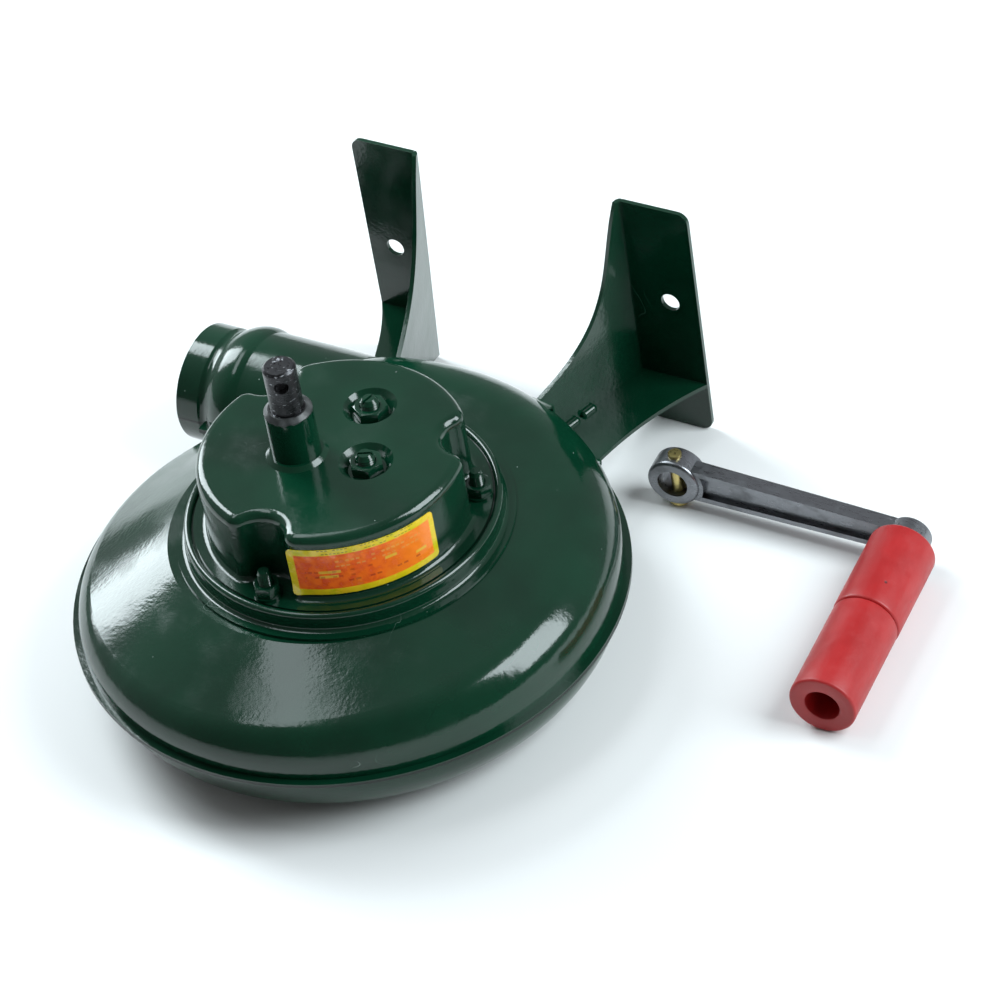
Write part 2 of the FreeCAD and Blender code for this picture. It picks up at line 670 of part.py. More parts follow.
def lay_pinion():
    return gear_disc(LAY_PINION_TEETH, PINION_ADD, LAY_X, LAY_Y,
                     HIGH_GEAR_Z - PINION_PROUD, HIGH_GEAR_T + PINION_PROUD * 1.6, mesh_phase(LAY_PINION_TEETH, LAY_DIR + 180.0),
                     SHAFT_R)


def lay_gear():
    g = gear_disc(LAY_TEETH, GEAR_ADD, LAY_X, LAY_Y, LOW_GEAR_Z, LOW_GEAR_T,
                  math.radians(FAN_DIR), SHAFT_R)
    for i in range(5):
        a = math.radians(20.0 + 72.0 * i)
        d = 17.0 * MODULE
        g = g.cut(cyl(5.0, 20.0, LAY_X + d * math.cos(a), LAY_Y + d * math.sin(a),
                      LOW_GEAR_Z - 2.0))
    return g


def fan_shaft():
    return side_shaft(FAN_X, FAN_Y, FAN_SHAFT_LOW)


def fan_pinion():
    return gear_disc(FAN_PINION_TEETH, PINION_ADD, FAN_X, FAN_Y,
                     LOW_GEAR_Z - PINION_PROUD, LOW_GEAR_T + PINION_PROUD * 2.0, mesh_phase(FAN_PINION_TEETH, FAN_DIR + 180.0),
                     SHAFT_R)


def shaft_bush(x, y):
    b = cyl(BUSH_R, 11.0, x, y, PLAT_Z - SHEET - 6.0)
    b = b.fuse(cyl(BUSH_FLANGE_R, 1.5, x, y, PLAT_Z))
    return b.cut(cyl(SHAFT_R + RUN, 20.0, x, y, PLAT_Z - 12.0)).removeSplitter()


def shaft_bushes():
    return Part.makeCompound([shaft_bush(LAY_X, LAY_Y), shaft_bush(FAN_X, FAN_Y)])


# ---------------------------------------------------------------- fan
def fan_plate():
    p = tube(FAN_R, SHAFT_R + 4.0, FAN_PLATE_T, FAN_X, FAN_Y, FAN_PLATE_Z)
    for x, y in rivet_places():
        p = p.cut(cyl(1.5, 6.0, x, y, FAN_PLATE_Z - 2.0))
    return p


def fan_hub():
    z = FAN_PLATE_Z - 8.0
    h = cyl(SHAFT_R + 4.0, FAN_HUB_L, FAN_X, FAN_Y, z)
    h = h.fuse(cyl(FAN_HUB_R + 4.0, 2.0, FAN_X, FAN_Y, FAN_PLATE_Z - 2.0))
    h = h.cut(cyl(SHAFT_R, 40.0, FAN_X, FAN_Y, z - 10.0))
    return h.removeSplitter()


def fan_nut():
    n = hexagon(LOCK_AF, 5.0, FAN_X, FAN_Y, FAN_PLATE_Z - 13.0)
    return n.cut(cyl(SHAFT_R, 10.0, FAN_X, FAN_Y, FAN_PLATE_Z - 15.0))


def blade_turn(i):
    return 360.0 * i / FAN_BLADES + 11.0


def rivet_places():
    out = []
    for i in range(FAN_BLADES):
        a = math.radians(blade_turn(i))
        for r in (BLADE_IN + 8.0, FAN_R - 12.0):
            x = FAN_X + r * math.cos(a) - 4.5 * math.sin(a)
            y = FAN_Y + r * math.sin(a) + 4.5 * math.cos(a)
            out.append((x, y))
    return out


def fan_blades():
    out = []
    for i in range(FAN_BLADES):
        z = FAN_PLATE_Z - BLADE_W
        b = box(BLADE_IN, FAN_R - 1.0, -BLADE_T, 0.0, z, FAN_PLATE_Z)
        cut = polygon([V(BLADE_IN - 1.0, -5.0, z - 1.0), V(BLADE_IN + 16.0, -5.0, z - 1.0),
                       V(BLADE_IN - 1.0, -5.0, z + 18.0)]).extrude(V(0, 10.0, 0))
        foot = box(BLADE_IN + 2.0, FAN_R - 4.0, 0.0, 9.0, FAN_PLATE_Z - BLADE_T, FAN_PLATE_Z)
        b = b.cut(cut).fuse(foot).removeSplitter()
        b.rotate(V(0, 0, 0), UP, blade_turn(i))
        b = at(b, FAN_X, FAN_Y, 0.0)
        out.append(b)
    holes = [cyl(1.5, 6.0, x, y, FAN_PLATE_Z - 4.0) for x, y in rivet_places()]
    cutter = Part.makeCompound(holes)
    return Part.makeCompound([b.cut(cutter) for b in out])


def fan_rivets():
    out = []
    for x, y in rivet_places():
        grip = BLADE_T + FAN_PLATE_T
        s = cyl(1.5, grip, x, y, FAN_PLATE_Z - BLADE_T)
        s = s.fuse(cyl(2.8, 1.0, x, y, FAN_PLATE_Z - BLADE_T - 1.0))
        s = s.fuse(cyl(2.8, 1.0, x, y, FAN_PLATE_Z + FAN_PLATE_T))
        out.append(s.removeSplitter())
    return Part.makeCompound(out)


# ---------------------------------------------------------------- legs
def leg_plate():
    """Foot plate of the right leg with its rounded free corners."""
    yb = FOOT_Y + LEG_T
    plate = box(FOOT_IN, FOOT_OUT, FOOT_Y, yb, FOOT_LOW, FOOT_TOP)
    corner = []
    for e in plate.Edges:
        m = e.CenterOfMass
        if abs(m.x - FOOT_OUT) < 1e-6 and abs(m.y - FOOT_Y - LEG_T / 2.0) < 1e-6:
            corner.append(e)
        if abs(m.x - FOOT_IN) < 1e-6 and abs(m.z - FOOT_LOW) < 1e-6:
            if abs(m.y - FOOT_Y - LEG_T / 2.0) < 1e-6:
                corner.append(e)
    return plate.makeFillet(FOOT_CORNER, corner)


def web_frame():
    """Foot of the upright web, its direction and its length to the housing."""
    a = V(FOOT_IN, FOOT_Y, 0)
    b = V(WEB_IN, WEB_IN_Y, 0)
    d = b - a
    length = d.Length
    d.normalize()
    return a, d, length


def upright_web():
    a, d, length = web_frame()
    low = SHELF_TOP - LEG_T
    rise = FOOT_TOP - WEB_END_Z
    edge = Part.BSplineCurve()

    def p(s, z):
        q = a + d * s
        return V(q.x, q.y, z)

    far = length + 9.0
    edge.interpolate([
        p(2.0, FOOT_TOP),
        p(length * 0.165, FOOT_TOP - rise * 0.30),
        p(length * 0.29, FOOT_TOP - rise * 0.585),
        p(length * 0.47, FOOT_TOP - rise * 0.785),
        p(length * 0.72, FOOT_TOP - rise * 0.915),
        p(far, WEB_END_Z - 1.5),
    ])
    start = p(-0.3, FOOT_TOP)
    edges = [
        line(start, p(2.0, FOOT_TOP)),
        edge.toShape(),
        line(p(far, WEB_END_Z - 1.5), p(far, low)),
        line(p(far, low), p(length * 0.8, low)),
        line(p(length * 0.8, low), p(-0.3, FOOT_LOW + 2.0)),
        line(p(-0.3, FOOT_LOW + 2.0), start),
    ]
    n = V(-d.y, d.x, 0)
    if n.x > 0:
        n = n * -1.0
    web = Part.Face(Part.Wire(edges)).extrude(n * LEG_T)
    return web


def flat_web():
    a, d, length = web_frame()
    far = a + d * (length + 9.0)
    z = SHELF_TOP - LEG_T
    edge = Part.BSplineCurve()
    reach = FOOT_OUT - SHELF_OUT
    run = FOOT_Y - SHELF_OUT_Y
    edge.interpolate([
        V(FOOT_OUT, FOOT_Y, z),
        V(FOOT_OUT - reach * 0.36, FOOT_Y - run * 0.23, z),
        V(FOOT_OUT - reach * 0.60, FOOT_Y - run * 0.43, z),
        V(SHELF_OUT, SHELF_OUT_Y, z),
    ])
    k = (SHELF_OUT_Y - 6.0 - far.y)
    inner = V(SHELF_OUT - 1.5, SHELF_OUT_Y - 6.0, z)
    edges = [
        edge.toShape(),
        line(V(SHELF_OUT, SHELF_OUT_Y, z), inner),
        line(inner, V(far.x - 1.9, far.y + k * 0.0, z)),
        line(V(far.x - 1.9, far.y, z), V(FOOT_IN - 1.9, FOOT_Y, z)),
        line(V(FOOT_IN - 1.9, FOOT_Y, z), V(FOOT_OUT, FOOT_Y, z)),
    ]
    return Part.Face(Part.Wire(edges)).extrude(V(0, 0, LEG_T))


def house_cutter():
    """Everything the legs and welds must stay outside of."""
    out_f, out_r, out_p = outer_body()
    upper = out_f.common(big_box(SEAM_Z, 200.0))
    lower = out_r.common(big_box(-50.0, SEAM_Z))
    lips = [lip_plate(SEAM_Z), lip_plate(SEAM_Z - SHEET)]
    return [upper, lower, out_p] + lips


def trim(shape, cutters):
    for c in cutters:
        shape = shape.cut(c)
        if shape.isNull() or not shape.Solids:
            return None
    return shape


def tipped(shape, lean):
    """Lean a piece of the upright web about its top corner."""
    s = shape.copy()
    s.rotate(V(FOOT_IN, FOOT_Y, FOOT_TOP), V(0, 1, 0), -lean)
    return s


def inner_side():
    """Block that fills the inner side of the upright web's plane."""
    a, d, length = web_frame()
    n = V(-d.y, d.x, 0)
    if n.x > 0:
        n = n * -1.0
    p = a - d * 40.0 + V(0, 0, -40.0)
    q = a + d * (length + 60.0) + V(0, 0, -40.0)
    face = Part.Face(polygon([p, q, q + n * 80.0, p + n * 80.0]))
    return face.extrude(V(0, 0, 240.0))


def leg(side, hole_z, lean):
    """Pressed bracket on one side, 1 for the right and -1 for the left."""
    piece = leg_plate().fuse(flat_web()).cut(tipped(inner_side(), lean))
    piece = piece.fuse(tipped(upright_web(), lean))
    corner = cyl(LEG_T, FOOT_TOP - FOOT_LOW - 4.0, FOOT_IN + 0.2, FOOT_Y, FOOT_LOW + 4.0)
    keep = box(0.0, FOOT_IN + 0.2, FOOT_Y - 0.5, FOOT_Y + LEG_T, 0.0, 200.0)
    piece = piece.fuse(tipped(corner.common(keep), lean)).removeSplitter()
    hole = cyl(FOOT_HOLE_R, 20.0, FOOT_HOLE_X, FOOT_Y - 5.0, hole_z, V(0, 1, 0))
    piece = piece.cut(hole)
    if side < 0:
        piece = mirror_x(piece)
    piece = trim(piece, house_cutter())
    return max(piece.Solids, key=lambda s: s.Volume)


def weld_places():
    a, d, length = web_frame()
    t = LEG_T
    out = []
    for s in (length * 0.62, length * 0.80):
        q = a + d * s
        out.append((q.x + 1.0, q.y + 0.2, SHELF_TOP + 0.3, 5.0, math.degrees(math.atan2(d.y, d.x))))
    out.append((SHELF_OUT - 0.5, SHELF_OUT_Y + 0.6, SHELF_TOP - 1.0, 4.0, 60.0))
    out.append((WEB_IN + 5.0, WEB_IN_Y + 2.6, SHELF_TOP + 0.4, 5.0, 0.0))
    return out


def weld_bead(x, y, z, length, turn):
    d = V(math.cos(math.radians(turn)), math.sin(math.radians(turn)), 0)
    c = V(x, y, z)
    bead = Part.makeCylinder(WELD_R, length, c - d * (length / 2.0), d)
    for k in (-0.5, 0.5):
        bead = bead.fuse(Part.makeSphere(WELD_R, c + d * (length * k)))
    return bead


def weld_beads(right, left):
    cutter = house_cutter()
    out = []
    for w in weld_places():
        bead = weld_bead(*w)
        for k, bracket in ((0, right), (1, left)):
            b = mirror_x(tipped(bead, LEAN_LEFT)) if k else tipped(bead, LEAN_RIGHT)
            b = trim(b, cutter + [bracket])
            if b is not None:
                out.append(max(b.Solids, key=lambda s: s.Volume))
    return Part.makeCompound(out)


# ---------------------------------------------------------------- crank
def place_crank(shape):
    """Local frame: +X hub to grip, -Y towards the open grip end, +Z up."""
    s = shape.copy()
    s.rotate(V(0, 0, 0), UP, CRANK_TURN)
    s.translate(V(HUB_X, HUB_Y, GRIP_Z))
    return s


def arm_slab(y0, y1, inset):
    """Tapered arm leaning forward from hub to grip boss, moved inwards by inset."""
    hh = ARM_H_HUB / 2.0 - inset
    hg = ARM_H_GRIP / 2.0 - inset
    lean = ARM_REACH
    faces = []
    for y in (y0, y1):
        pts = [V(0, y, -hh), V(ARM_THROW, y - lean, -hg),
               V(ARM_THROW, y - lean, hg), V(0, y, hh)]
        faces.append(Part.makePolygon(pts + [pts[0]]))
    return Part.makeLoft(faces, True, True)


def boss_back():
    """Rear face of the grip boss."""
    return ARM_SET + ARM_T - ARM_REACH


def grip_face():
    """Face of the grip beside the arm."""
    return boss_back() - BOSS_L - GRIP_PLAY


def crank_arm():
    y0 = ARM_SET
    y1 = ARM_SET + ARM_T
    along = V(0, 1, 0)
    hub = Part.makeCylinder(HUB_R, HUB_L, V(0, 0, 0), along)
    hub = hub.makeFillet(1.6, [e for e in hub.Edges if len(e.Vertexes) == 1])
    arm = arm_slab(y0, y1, 0.0)
    boss = Part.makeCylinder(ARM_END_R, BOSS_L, V(ARM_THROW, boss_back() - BOSS_L, 0), along)
    boss = boss.makeFillet(1.4, [e for e in boss.Edges if len(e.Vertexes) == 1])
    hollow = arm_slab(y0 - 1.0, y0 + ARM_DEEP, ARM_RIB)
    hollow = hollow.fuse(arm_slab(y1 - ARM_DEEP, y1 + 1.0, ARM_RIB))
    stay = Part.makeCylinder(HUB_R + 2.0, 80.0, V(0, -40.0, 0), along)
    stay = stay.fuse(Part.makeCylinder(ARM_END_R, 80.0, V(ARM_THROW, -40.0, 0), along))
    arm = arm.cut(hollow.cut(stay))
    arm = arm.fuse(hub).fuse(boss).removeSplitter()
    arm = arm.cut(Part.makeCylinder(CRANK_BORE_R, 60.0, V(0, -30.0, 0), along))
    arm = arm.cut(Part.makeCylinder(GRIP_PIN_R, 80.0, V(ARM_THROW, -40.0, 0), along))
    seat = Part.makeCylinder(GRIP_PIN_R + 1.8 + FIT, 20.0, V(ARM_THROW, boss_back(), 0), along)
    arm = arm.cut(seat)
    arm = arm.cut(Part.makeCylinder(SCREW_R, 60.0, V(0, HUB_L / 2.0, -30.0), UP))
    return place_crank(arm)


def crank_screw():
    low = -HUB_R - SCREW_HEAD_H
    s = Part.makeCylinder(SCREW_R, HUB_R * 2.0 + 1.2, V(0, HUB_L / 2.0, -HUB_R), UP)
    h = Part.makeCylinder(SCREW_HEAD_R, SCREW_HEAD_H, V(0, HUB_L / 2.0, low), UP)
    h = h.makeFillet(1.2, [e for e in h.Edges
                           if len(e.Vertexes) == 1 and e.CenterOfMass.z < low + 0.1])
    s = s.fuse(h)
    slot = box(-6.0, 6.0, HUB_L / 2.0 - 0.6, HUB_L / 2.0 + 0.6, low - 1.0, low + 1.0)
    seat = Part.makeCylinder(HUB_R, HUB_L, V(0, 0, 0), V(0, 1, 0))
    shank = Part.makeCylinder(SCREW_R, 60.0, V(0, HUB_L / 2.0, -30.0), UP)
    s = s.cut(seat.cut(shank)).cut(slot)
    return place_crank(max(s.Solids, key=lambda k: k.Volume))


def grip_pin():
    """Rivet through the boss with its head inside the grip."""
    along = V(0, -1, 0)
    root = boss_back()
    stop = grip_face() - GRIP_L + GRIP_HOLE_L
    p = Part.makeCylinder(GRIP_PIN_R, root - stop + 1.5, V(ARM_THROW, root, 0), along)
    head = Part.makeCylinder(GRIP_PIN_R + 2.0, 3.2, V(ARM_THROW, stop - 1.5, 0), along)
    rivet = Part.makeCylinder(GRIP_PIN_R + 1.8, 1.4, V(ARM_THROW, root + 1.4, 0), along)
    return place_crank(p.fuse(head).fuse(rivet).removeSplitter())


def grip_washer():
    y = grip_face() - GRIP_L + GRIP_HOLE_L - 0.4
    along = V(0, -1, 0)
    w = Part.makeCylinder(GRIP_PIN_R + 2.6, 1.0, V(ARM_THROW, y, 0), along)
    hole = Part.makeCylinder(GRIP_PIN_R, 9.0, V(ARM_THROW, y + 4.0, 0), along)
    return place_crank(w.cut(hole))


def grip_half(y0, y1, r):
    along = V(0, 1, 0)
    s = Part.makeCylinder(r, y1 - y0, V(ARM_THROW, y0, 0), along)
    ends = [e for e in s.Edges if len(e.Vertexes) == 1]
    return s, ends


def grip_outer():
    y0 = grip_face() - GRIP_L
    s, ends = grip_half(y0, y0 + GRIP_SPLIT, GRIP_R)
    s = s.makeFillet(0.6, [e for e in ends if abs(e.CenterOfMass.y - y0) < 0.01])
    s = s.cut(Part.makeCylinder(GRIP_HOLE_R, GRIP_HOLE_L, V(ARM_THROW, y0, 0), V(0, 1, 0)))
    s = s.cut(Part.makeCylinder(GRIP_PIN_R + RUN, 200.0, V(ARM_THROW, y0, 0), V(0, 1, 0)))
    return place_crank(s)


def grip_inner():
    y1 = grip_face()
    y0 = y1 - GRIP_L + GRIP_SPLIT
    s, ends = grip_half(y0, y1, GRIP_R + GRIP_STEP)
    s = s.makeFillet(0.6, [e for e in ends if abs(e.CenterOfMass.y - y1) < 0.01])
    s = s.cut(Part.makeCylinder(GRIP_PIN_R + RUN, 200.0, V(ARM_THROW, y0 - 50.0, 0), V(0, 1, 0)))
    return place_crank(s)


def main():
    os.makedirs("parts", exist_ok=True)
    right = leg(1, FOOT_HOLE_Z_RIGHT, LEAN_RIGHT)
    left = leg(-1, FOOT_HOLE_Z_LEFT, LEAN_LEFT)
    made = {
        "front_shell": front_shell(),
        "rear_shell": rear_shell(),
        "gear_pan": gear_pan(),
        "gear_cover": gear_cover(),
        "cover_studs": cover_studs(),
        "cover_washers": cover_washers(),
        "cover_nuts": cover_nuts(),
        "crank_sleeve": crank_sleeve(),
        "weld_nuts": weld_nuts(),
        "pivot_screws": pivot_screws(),
        "lock_nuts": lock_nuts(),
        "label": label(),
        "right_leg": right,
        "left_leg": left,
        "weld_beads": weld_beads(right, left),
        "shaft_bushes": shaft_bushes(),
        "crank_shaft": crank_shaft(),
        "crank_gear": crank_gear(),
        "shaft_clip": shaft_clip(),
        "shaft_spacer": shaft_spacer(),
        "lay_shaft": lay_shaft(),
        "lay_pinion": lay_pinion(),
        "lay_gear": lay_gear(),
        "fan_shaft": fan_shaft(),
        "fan_pinion": fan_pinion(),
        "fan_plate": fan_plate(),
        "fan_hub": fan_hub(),
        "fan_nut": fan_nut(),
        "fan_blades": fan_blades(),
        "fan_rivets": fan_rivets(),
        "crank_arm": crank_arm(),
        "crank_screw": crank_screw(),
        "grip_pin": grip_pin(),
        "grip_washer": grip_washer(),
        "grip_outer": grip_outer(),
        "grip_inner": grip_inner(),
    }
    whole = Part.makeCompound(list(made.values())).optimalBoundingBox(False, False)
    shift = V(-whole.Center.x, -whole.Center.y, -whole.ZMin)
    print("shift", shift, "size", whole.XLength, whole.YLength, whole.ZLength)
    for name, shape in made.items():
        shape.translate(shift)
        export(shape, name)
        print(name, "solids", len(shape.Solids), "valid", shape.isValid(),
              "volume", round(shape.Volume, 1))


main()
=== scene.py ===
import json
import math

import bpy
from bpy.props import FloatProperty, FloatVectorProperty, PointerProperty
from mathutils import Matrix, Vector


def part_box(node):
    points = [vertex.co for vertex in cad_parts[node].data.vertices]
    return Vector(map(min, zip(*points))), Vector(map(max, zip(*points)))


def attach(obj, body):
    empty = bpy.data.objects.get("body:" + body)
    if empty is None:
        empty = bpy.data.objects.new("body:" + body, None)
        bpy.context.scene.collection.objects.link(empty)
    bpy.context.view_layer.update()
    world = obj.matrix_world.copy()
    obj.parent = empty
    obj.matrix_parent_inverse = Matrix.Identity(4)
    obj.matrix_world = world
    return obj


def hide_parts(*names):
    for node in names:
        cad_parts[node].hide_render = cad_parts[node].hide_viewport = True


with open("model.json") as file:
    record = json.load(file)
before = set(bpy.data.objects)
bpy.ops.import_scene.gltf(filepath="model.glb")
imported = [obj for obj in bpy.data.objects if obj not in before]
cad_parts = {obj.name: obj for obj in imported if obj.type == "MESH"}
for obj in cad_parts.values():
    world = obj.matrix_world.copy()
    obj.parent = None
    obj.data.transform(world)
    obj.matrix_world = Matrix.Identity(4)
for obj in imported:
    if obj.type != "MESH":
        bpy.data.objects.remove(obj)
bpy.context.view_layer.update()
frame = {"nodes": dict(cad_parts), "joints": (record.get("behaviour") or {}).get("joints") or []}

bl_info = {
    "name": "Hand-crank blower",
    "version": (1, 0, 0),
    "blender": (4, 5, 0),
    "location": "3D View > Sidebar > Blower",
    "description": "Builds the finishes and fine pieces of a hand-cranked forge blower on its packed frame",
    "category": "Object",
}

NODES = frame["nodes"]
MM = 0.001


def middle(node):
    low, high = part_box(node)
    return (low + high) / 2


def top(node):
    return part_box(node)[1].z


SEAM_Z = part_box("front_shell")[0].z          # height where the two half shells meet
RIM = 0.1 * MM                               # smallest ring that still closes the end of a turned piece
THREAD_GAP = 0.03 * MM                       # a screw's thread is this much inside its nut's bore
PIVOT_NUT_APART = 20 * MM                    # nuts in one node are further apart than this
COVER_NUT_APART = 12 * MM
CAMERA_PLACE = Vector((743.24, -1022.98, 1195.11)) * MM
CAMERA_AZIMUTH = math.radians(-35.37)
CAMERA_ELEVATION = math.radians(41.73)
CAMERA_ROLL = math.radians(-9.99)
LAMP_DISTANCE = 1.3
LAMP_AIM = Vector((0, 0, 0.06))


# ------------------------------------------------------------------ settings
class BlowerPaint(bpy.types.PropertyGroup):
    green: FloatVectorProperty(name="Green", description="Colour of the gloss paint",
                               default=(0.0016, 0.0280, 0.0130), size=3, subtype="COLOR", min=0, max=1)
    gloss: FloatProperty(name="Roughness", description="Roughness of the dried paint film",
                         default=0.15, min=0, max=1, subtype="FACTOR")
    peel: FloatProperty(name="Orange peel", description="Depth of the fine ripple in the paint",
                        default=0.16, min=0, max=1, subtype="FACTOR")
    nibs: FloatProperty(name="Dust nibs", description="Depth of the dust caught in the paint",
                        default=0.55, min=0, max=2)


class BlowerMetal(bpy.types.PropertyGroup):
    bare: FloatVectorProperty(name="Bare steel", description="Colour of the turned shaft",
                              default=(0.050, 0.050, 0.053), size=3, subtype="COLOR", min=0, max=1)
    cast: FloatVectorProperty(name="Crank", description="Colour of the plated crank arm",
                              default=(0.22, 0.225, 0.24), size=3, subtype="COLOR", min=0, max=1)
    zinc: FloatVectorProperty(name="Yellow zinc", description="Colour of the clamp screw",
                              default=(0.62, 0.50, 0.20), size=3, subtype="COLOR", min=0, max=1)
    thread_pitch: FloatProperty(name="Thread pitch", description="Distance between two thread crests",
                                default=1.0 * MM, min=0.2 * MM, max=3 * MM,
                                subtype="DISTANCE", unit="LENGTH")
    edge: FloatProperty(name="Edge rounding", description="Rounding of cut and cast edges",
                        default=0.35 * MM, min=0, max=2 * MM, subtype="DISTANCE", unit="LENGTH")


class BlowerGrip(bpy.types.PropertyGroup):
    red: FloatVectorProperty(name="Red", description="Colour of the moulded grip",
                             default=(0.33, 0.0070, 0.0078), size=3, subtype="COLOR", min=0, max=1)
    rounding: FloatProperty(name="End rounding", description="Rounding of the ends of the grip",
                            default=1.3 * MM, min=0, max=4 * MM, subtype="DISTANCE", unit="LENGTH")


class BlowerLabel(bpy.types.PropertyGroup):
    border: FloatVectorProperty(name="Border", description="Colour of the label's border",
                                default=(0.84, 0.60, 0.012), size=3, subtype="COLOR", min=0, max=1)
    panel: FloatVectorProperty(name="Panel", description="Colour of the label's panel",
                               default=(1.0, 0.165, 0.012), size=3, subtype="COLOR", min=0, max=1)
    lift: FloatProperty(name="Lifted corner", description="How far the loose corner stands off",
                        default=1.4 * MM, min=0, max=4 * MM, subtype="DISTANCE", unit="LENGTH")


class BlowerStage(bpy.types.PropertyGroup):
    floor: FloatVectorProperty(name="Floor", description="Colour of the table top",
                               default=(0.88, 0.875, 0.87), size=3, subtype="COLOR", min=0, max=1)
    softbox: FloatProperty(name="Softbox power", description="Power of each large softbox",
                           default=20.0, min=0, max=500, subtype="POWER", unit="POWER")
    room: FloatProperty(name="Room light", description="Strength of the light from the room",
                        default=0.28, min=0, max=5)
    lens: FloatProperty(name="Lens", description="Focal length of the camera in millimetres",
                        default=145.69, min=10, max=400)


class BlowerSettings(bpy.types.PropertyGroup):
    paint: PointerProperty(type=BlowerPaint)
    metal: PointerProperty(type=BlowerMetal)
    grip: PointerProperty(type=BlowerGrip)
    label: PointerProperty(type=BlowerLabel)
    stage: PointerProperty(type=BlowerStage)


# ------------------------------------------------------------------ node tools
def group_of(name, inputs, outputs):
    tree = bpy.data.node_groups.new(name, "ShaderNodeTree")
    for label, kind, value in inputs:
        s = tree.interface.new_socket(label, in_out="INPUT", socket_type=kind)
        s.default_value = value
    for label, kind in outputs:
        tree.interface.new_socket(label, in_out="OUTPUT", socket_type=kind)
    return tree, tree.nodes.new("NodeGroupInput"), tree.nodes.new("NodeGroupOutput")


def add(tree, kind, links=None, **values):
    """One node; links maps its input to an output socket or a plain value."""
    n = tree.nodes.new(kind)
    for key, value in values.items():
        setattr(n, key, value)
    for key, value in (links or {}).items():
        if isinstance(value, bpy.types.NodeSocket):
            tree.links.new(value, n.inputs[key])
        else:
            n.inputs[key].default_value = value
    return n


def sums(tree, operation, a, b=0.0, clamp=False):
    n = add(tree, "ShaderNodeMath", {0: a, 1: b}, operation=operation, use_clamp=clamp)
    return n.outputs[0]


def band(tree, value, low, high, out_low=0.0, out_high=1.0):
    n = add(tree, "ShaderNodeMapRange", {"Value": value, "From Min": low, "From Max": high,
                                         "To Min": out_low, "To Max": out_high},
            interpolation_type="SMOOTHSTEP")
    return n.outputs["Result"]


def blendof(tree, factor, a, b, kind="MIX"):
    n = tree.nodes.new("ShaderNodeMix")
    n.data_type = "RGBA"
    n.blend_type = kind
    for key, value in ((0, factor), (6, a), (7, b)):
        if isinstance(value, bpy.types.NodeSocket):
            tree.links.new(value, n.inputs[key])
        elif key == 0:
            n.inputs[key].default_value = value
        else:
            n.inputs[key].default_value = (*value, 1.0)
    return n.outputs[2]


def noise(tree, vector, scale, detail=3.0, rough=0.55):
    n = add(tree, "ShaderNodeTexNoise",
            {"Vector": vector, "Scale": scale, "Detail": detail, "Roughness": rough})
    return n.outputs["Fac"]


def film_group():
    """Sprayed paint: ripple, runs, dust nibs and light specks."""
    g, i, o = group_of("Sprayed film", [("Peel", "NodeSocketFloat", 0.2), ("Nibs", "NodeSocketFloat", 0.5),
                                        ("Wave", "NodeSocketFloat", 0.5)],
                       [("Height", "NodeSocketFloat"), ("Speck", "NodeSocketFloat"),
                        ("Tone", "NodeSocketFloat"),
                        ("Dull", "NodeSocketFloat")])
    at = add(g, "ShaderNodeTexCoord").outputs["Object"]
    peel = noise(g, at, 520.0, 2.0)
    wave = noise(g, at, 55.0, 1.0)
    cells = add(g, "ShaderNodeTexVoronoi", {"Vector": at, "Scale": 95.0, "Randomness": 1.0})
    pick = add(g, "ShaderNodeSeparateColor", {"Color": cells.outputs["Color"]})
    chosen = band(g, pick.outputs[0], 0.72, 0.80)
    size = sums(g, "MULTIPLY_ADD", pick.outputs[1], 0.055)
    size.node.inputs[2].default_value = 0.02
    dome = sums(g, "SUBTRACT", 1.0, sums(g, "DIVIDE", cells.outputs["Distance"], size), clamp=True)
    nib = sums(g, "MULTIPLY", sums(g, "POWER", dome, 0.5), chosen)
    pits = add(g, "ShaderNodeTexVoronoi", {"Vector": at, "Scale": 140.0, "Randomness": 1.0})
    pit_pick = add(g, "ShaderNodeSeparateColor", {"Color": pits.outputs["Color"]})
    pit = sums(g, "MULTIPLY", band(g, pits.outputs["Distance"], 0.075, 0.0),
               band(g, pit_pick.outputs[0], 0.90, 0.94))
    h = sums(g, "MULTIPLY", peel, i.outputs["Peel"])
    h = sums(g, "ADD", h, sums(g, "MULTIPLY", wave, i.outputs["Wave"]))
    h = sums(g, "ADD", h, sums(g, "MULTIPLY", nib, i.outputs["Nibs"]))
    h = sums(g, "SUBTRACT", h, sums(g, "MULTIPLY", pit, i.outputs["Nibs"]))
    fine = add(g, "ShaderNodeTexVoronoi", {"Vector": at, "Scale": 260.0, "Randomness": 1.0})
    fine_pick = add(g, "ShaderNodeSeparateColor", {"Color": fine.outputs["Color"]})
    speck = sums(g, "MULTIPLY", band(g, fine.outputs["Distance"], 0.085, 0.03),
                 band(g, fine_pick.outputs[1], 0.955, 0.97))
    hair = add(g, "ShaderNodeTexNoise", {"Vector": at, "Scale": 34.0, "Detail": 1.0, "Distortion": 1.4})
    line = band(g, sums(g, "ABSOLUTE", sums(g, "SUBTRACT", hair.outputs["Fac"], 0.5)), 0.0016, 0.0004)
    where = band(g, noise(g, at, 21.0, 1.0), 0.66, 0.70)
    g.links.new(h, o.inputs["Height"])
    g.links.new(sums(g, "MAXIMUM", speck, sums(g, "MULTIPLY", sums(g, "MULTIPLY", line, where), 0.5)),
                o.inputs["Speck"])
    g.links.new(noise(g, at, 17.0, 3.0), o.inputs["Tone"])
    g.links.new(band(g, noise(g, at, 38.0, 4.0), 0.42, 0.74), o.inputs["Dull"])
    return g


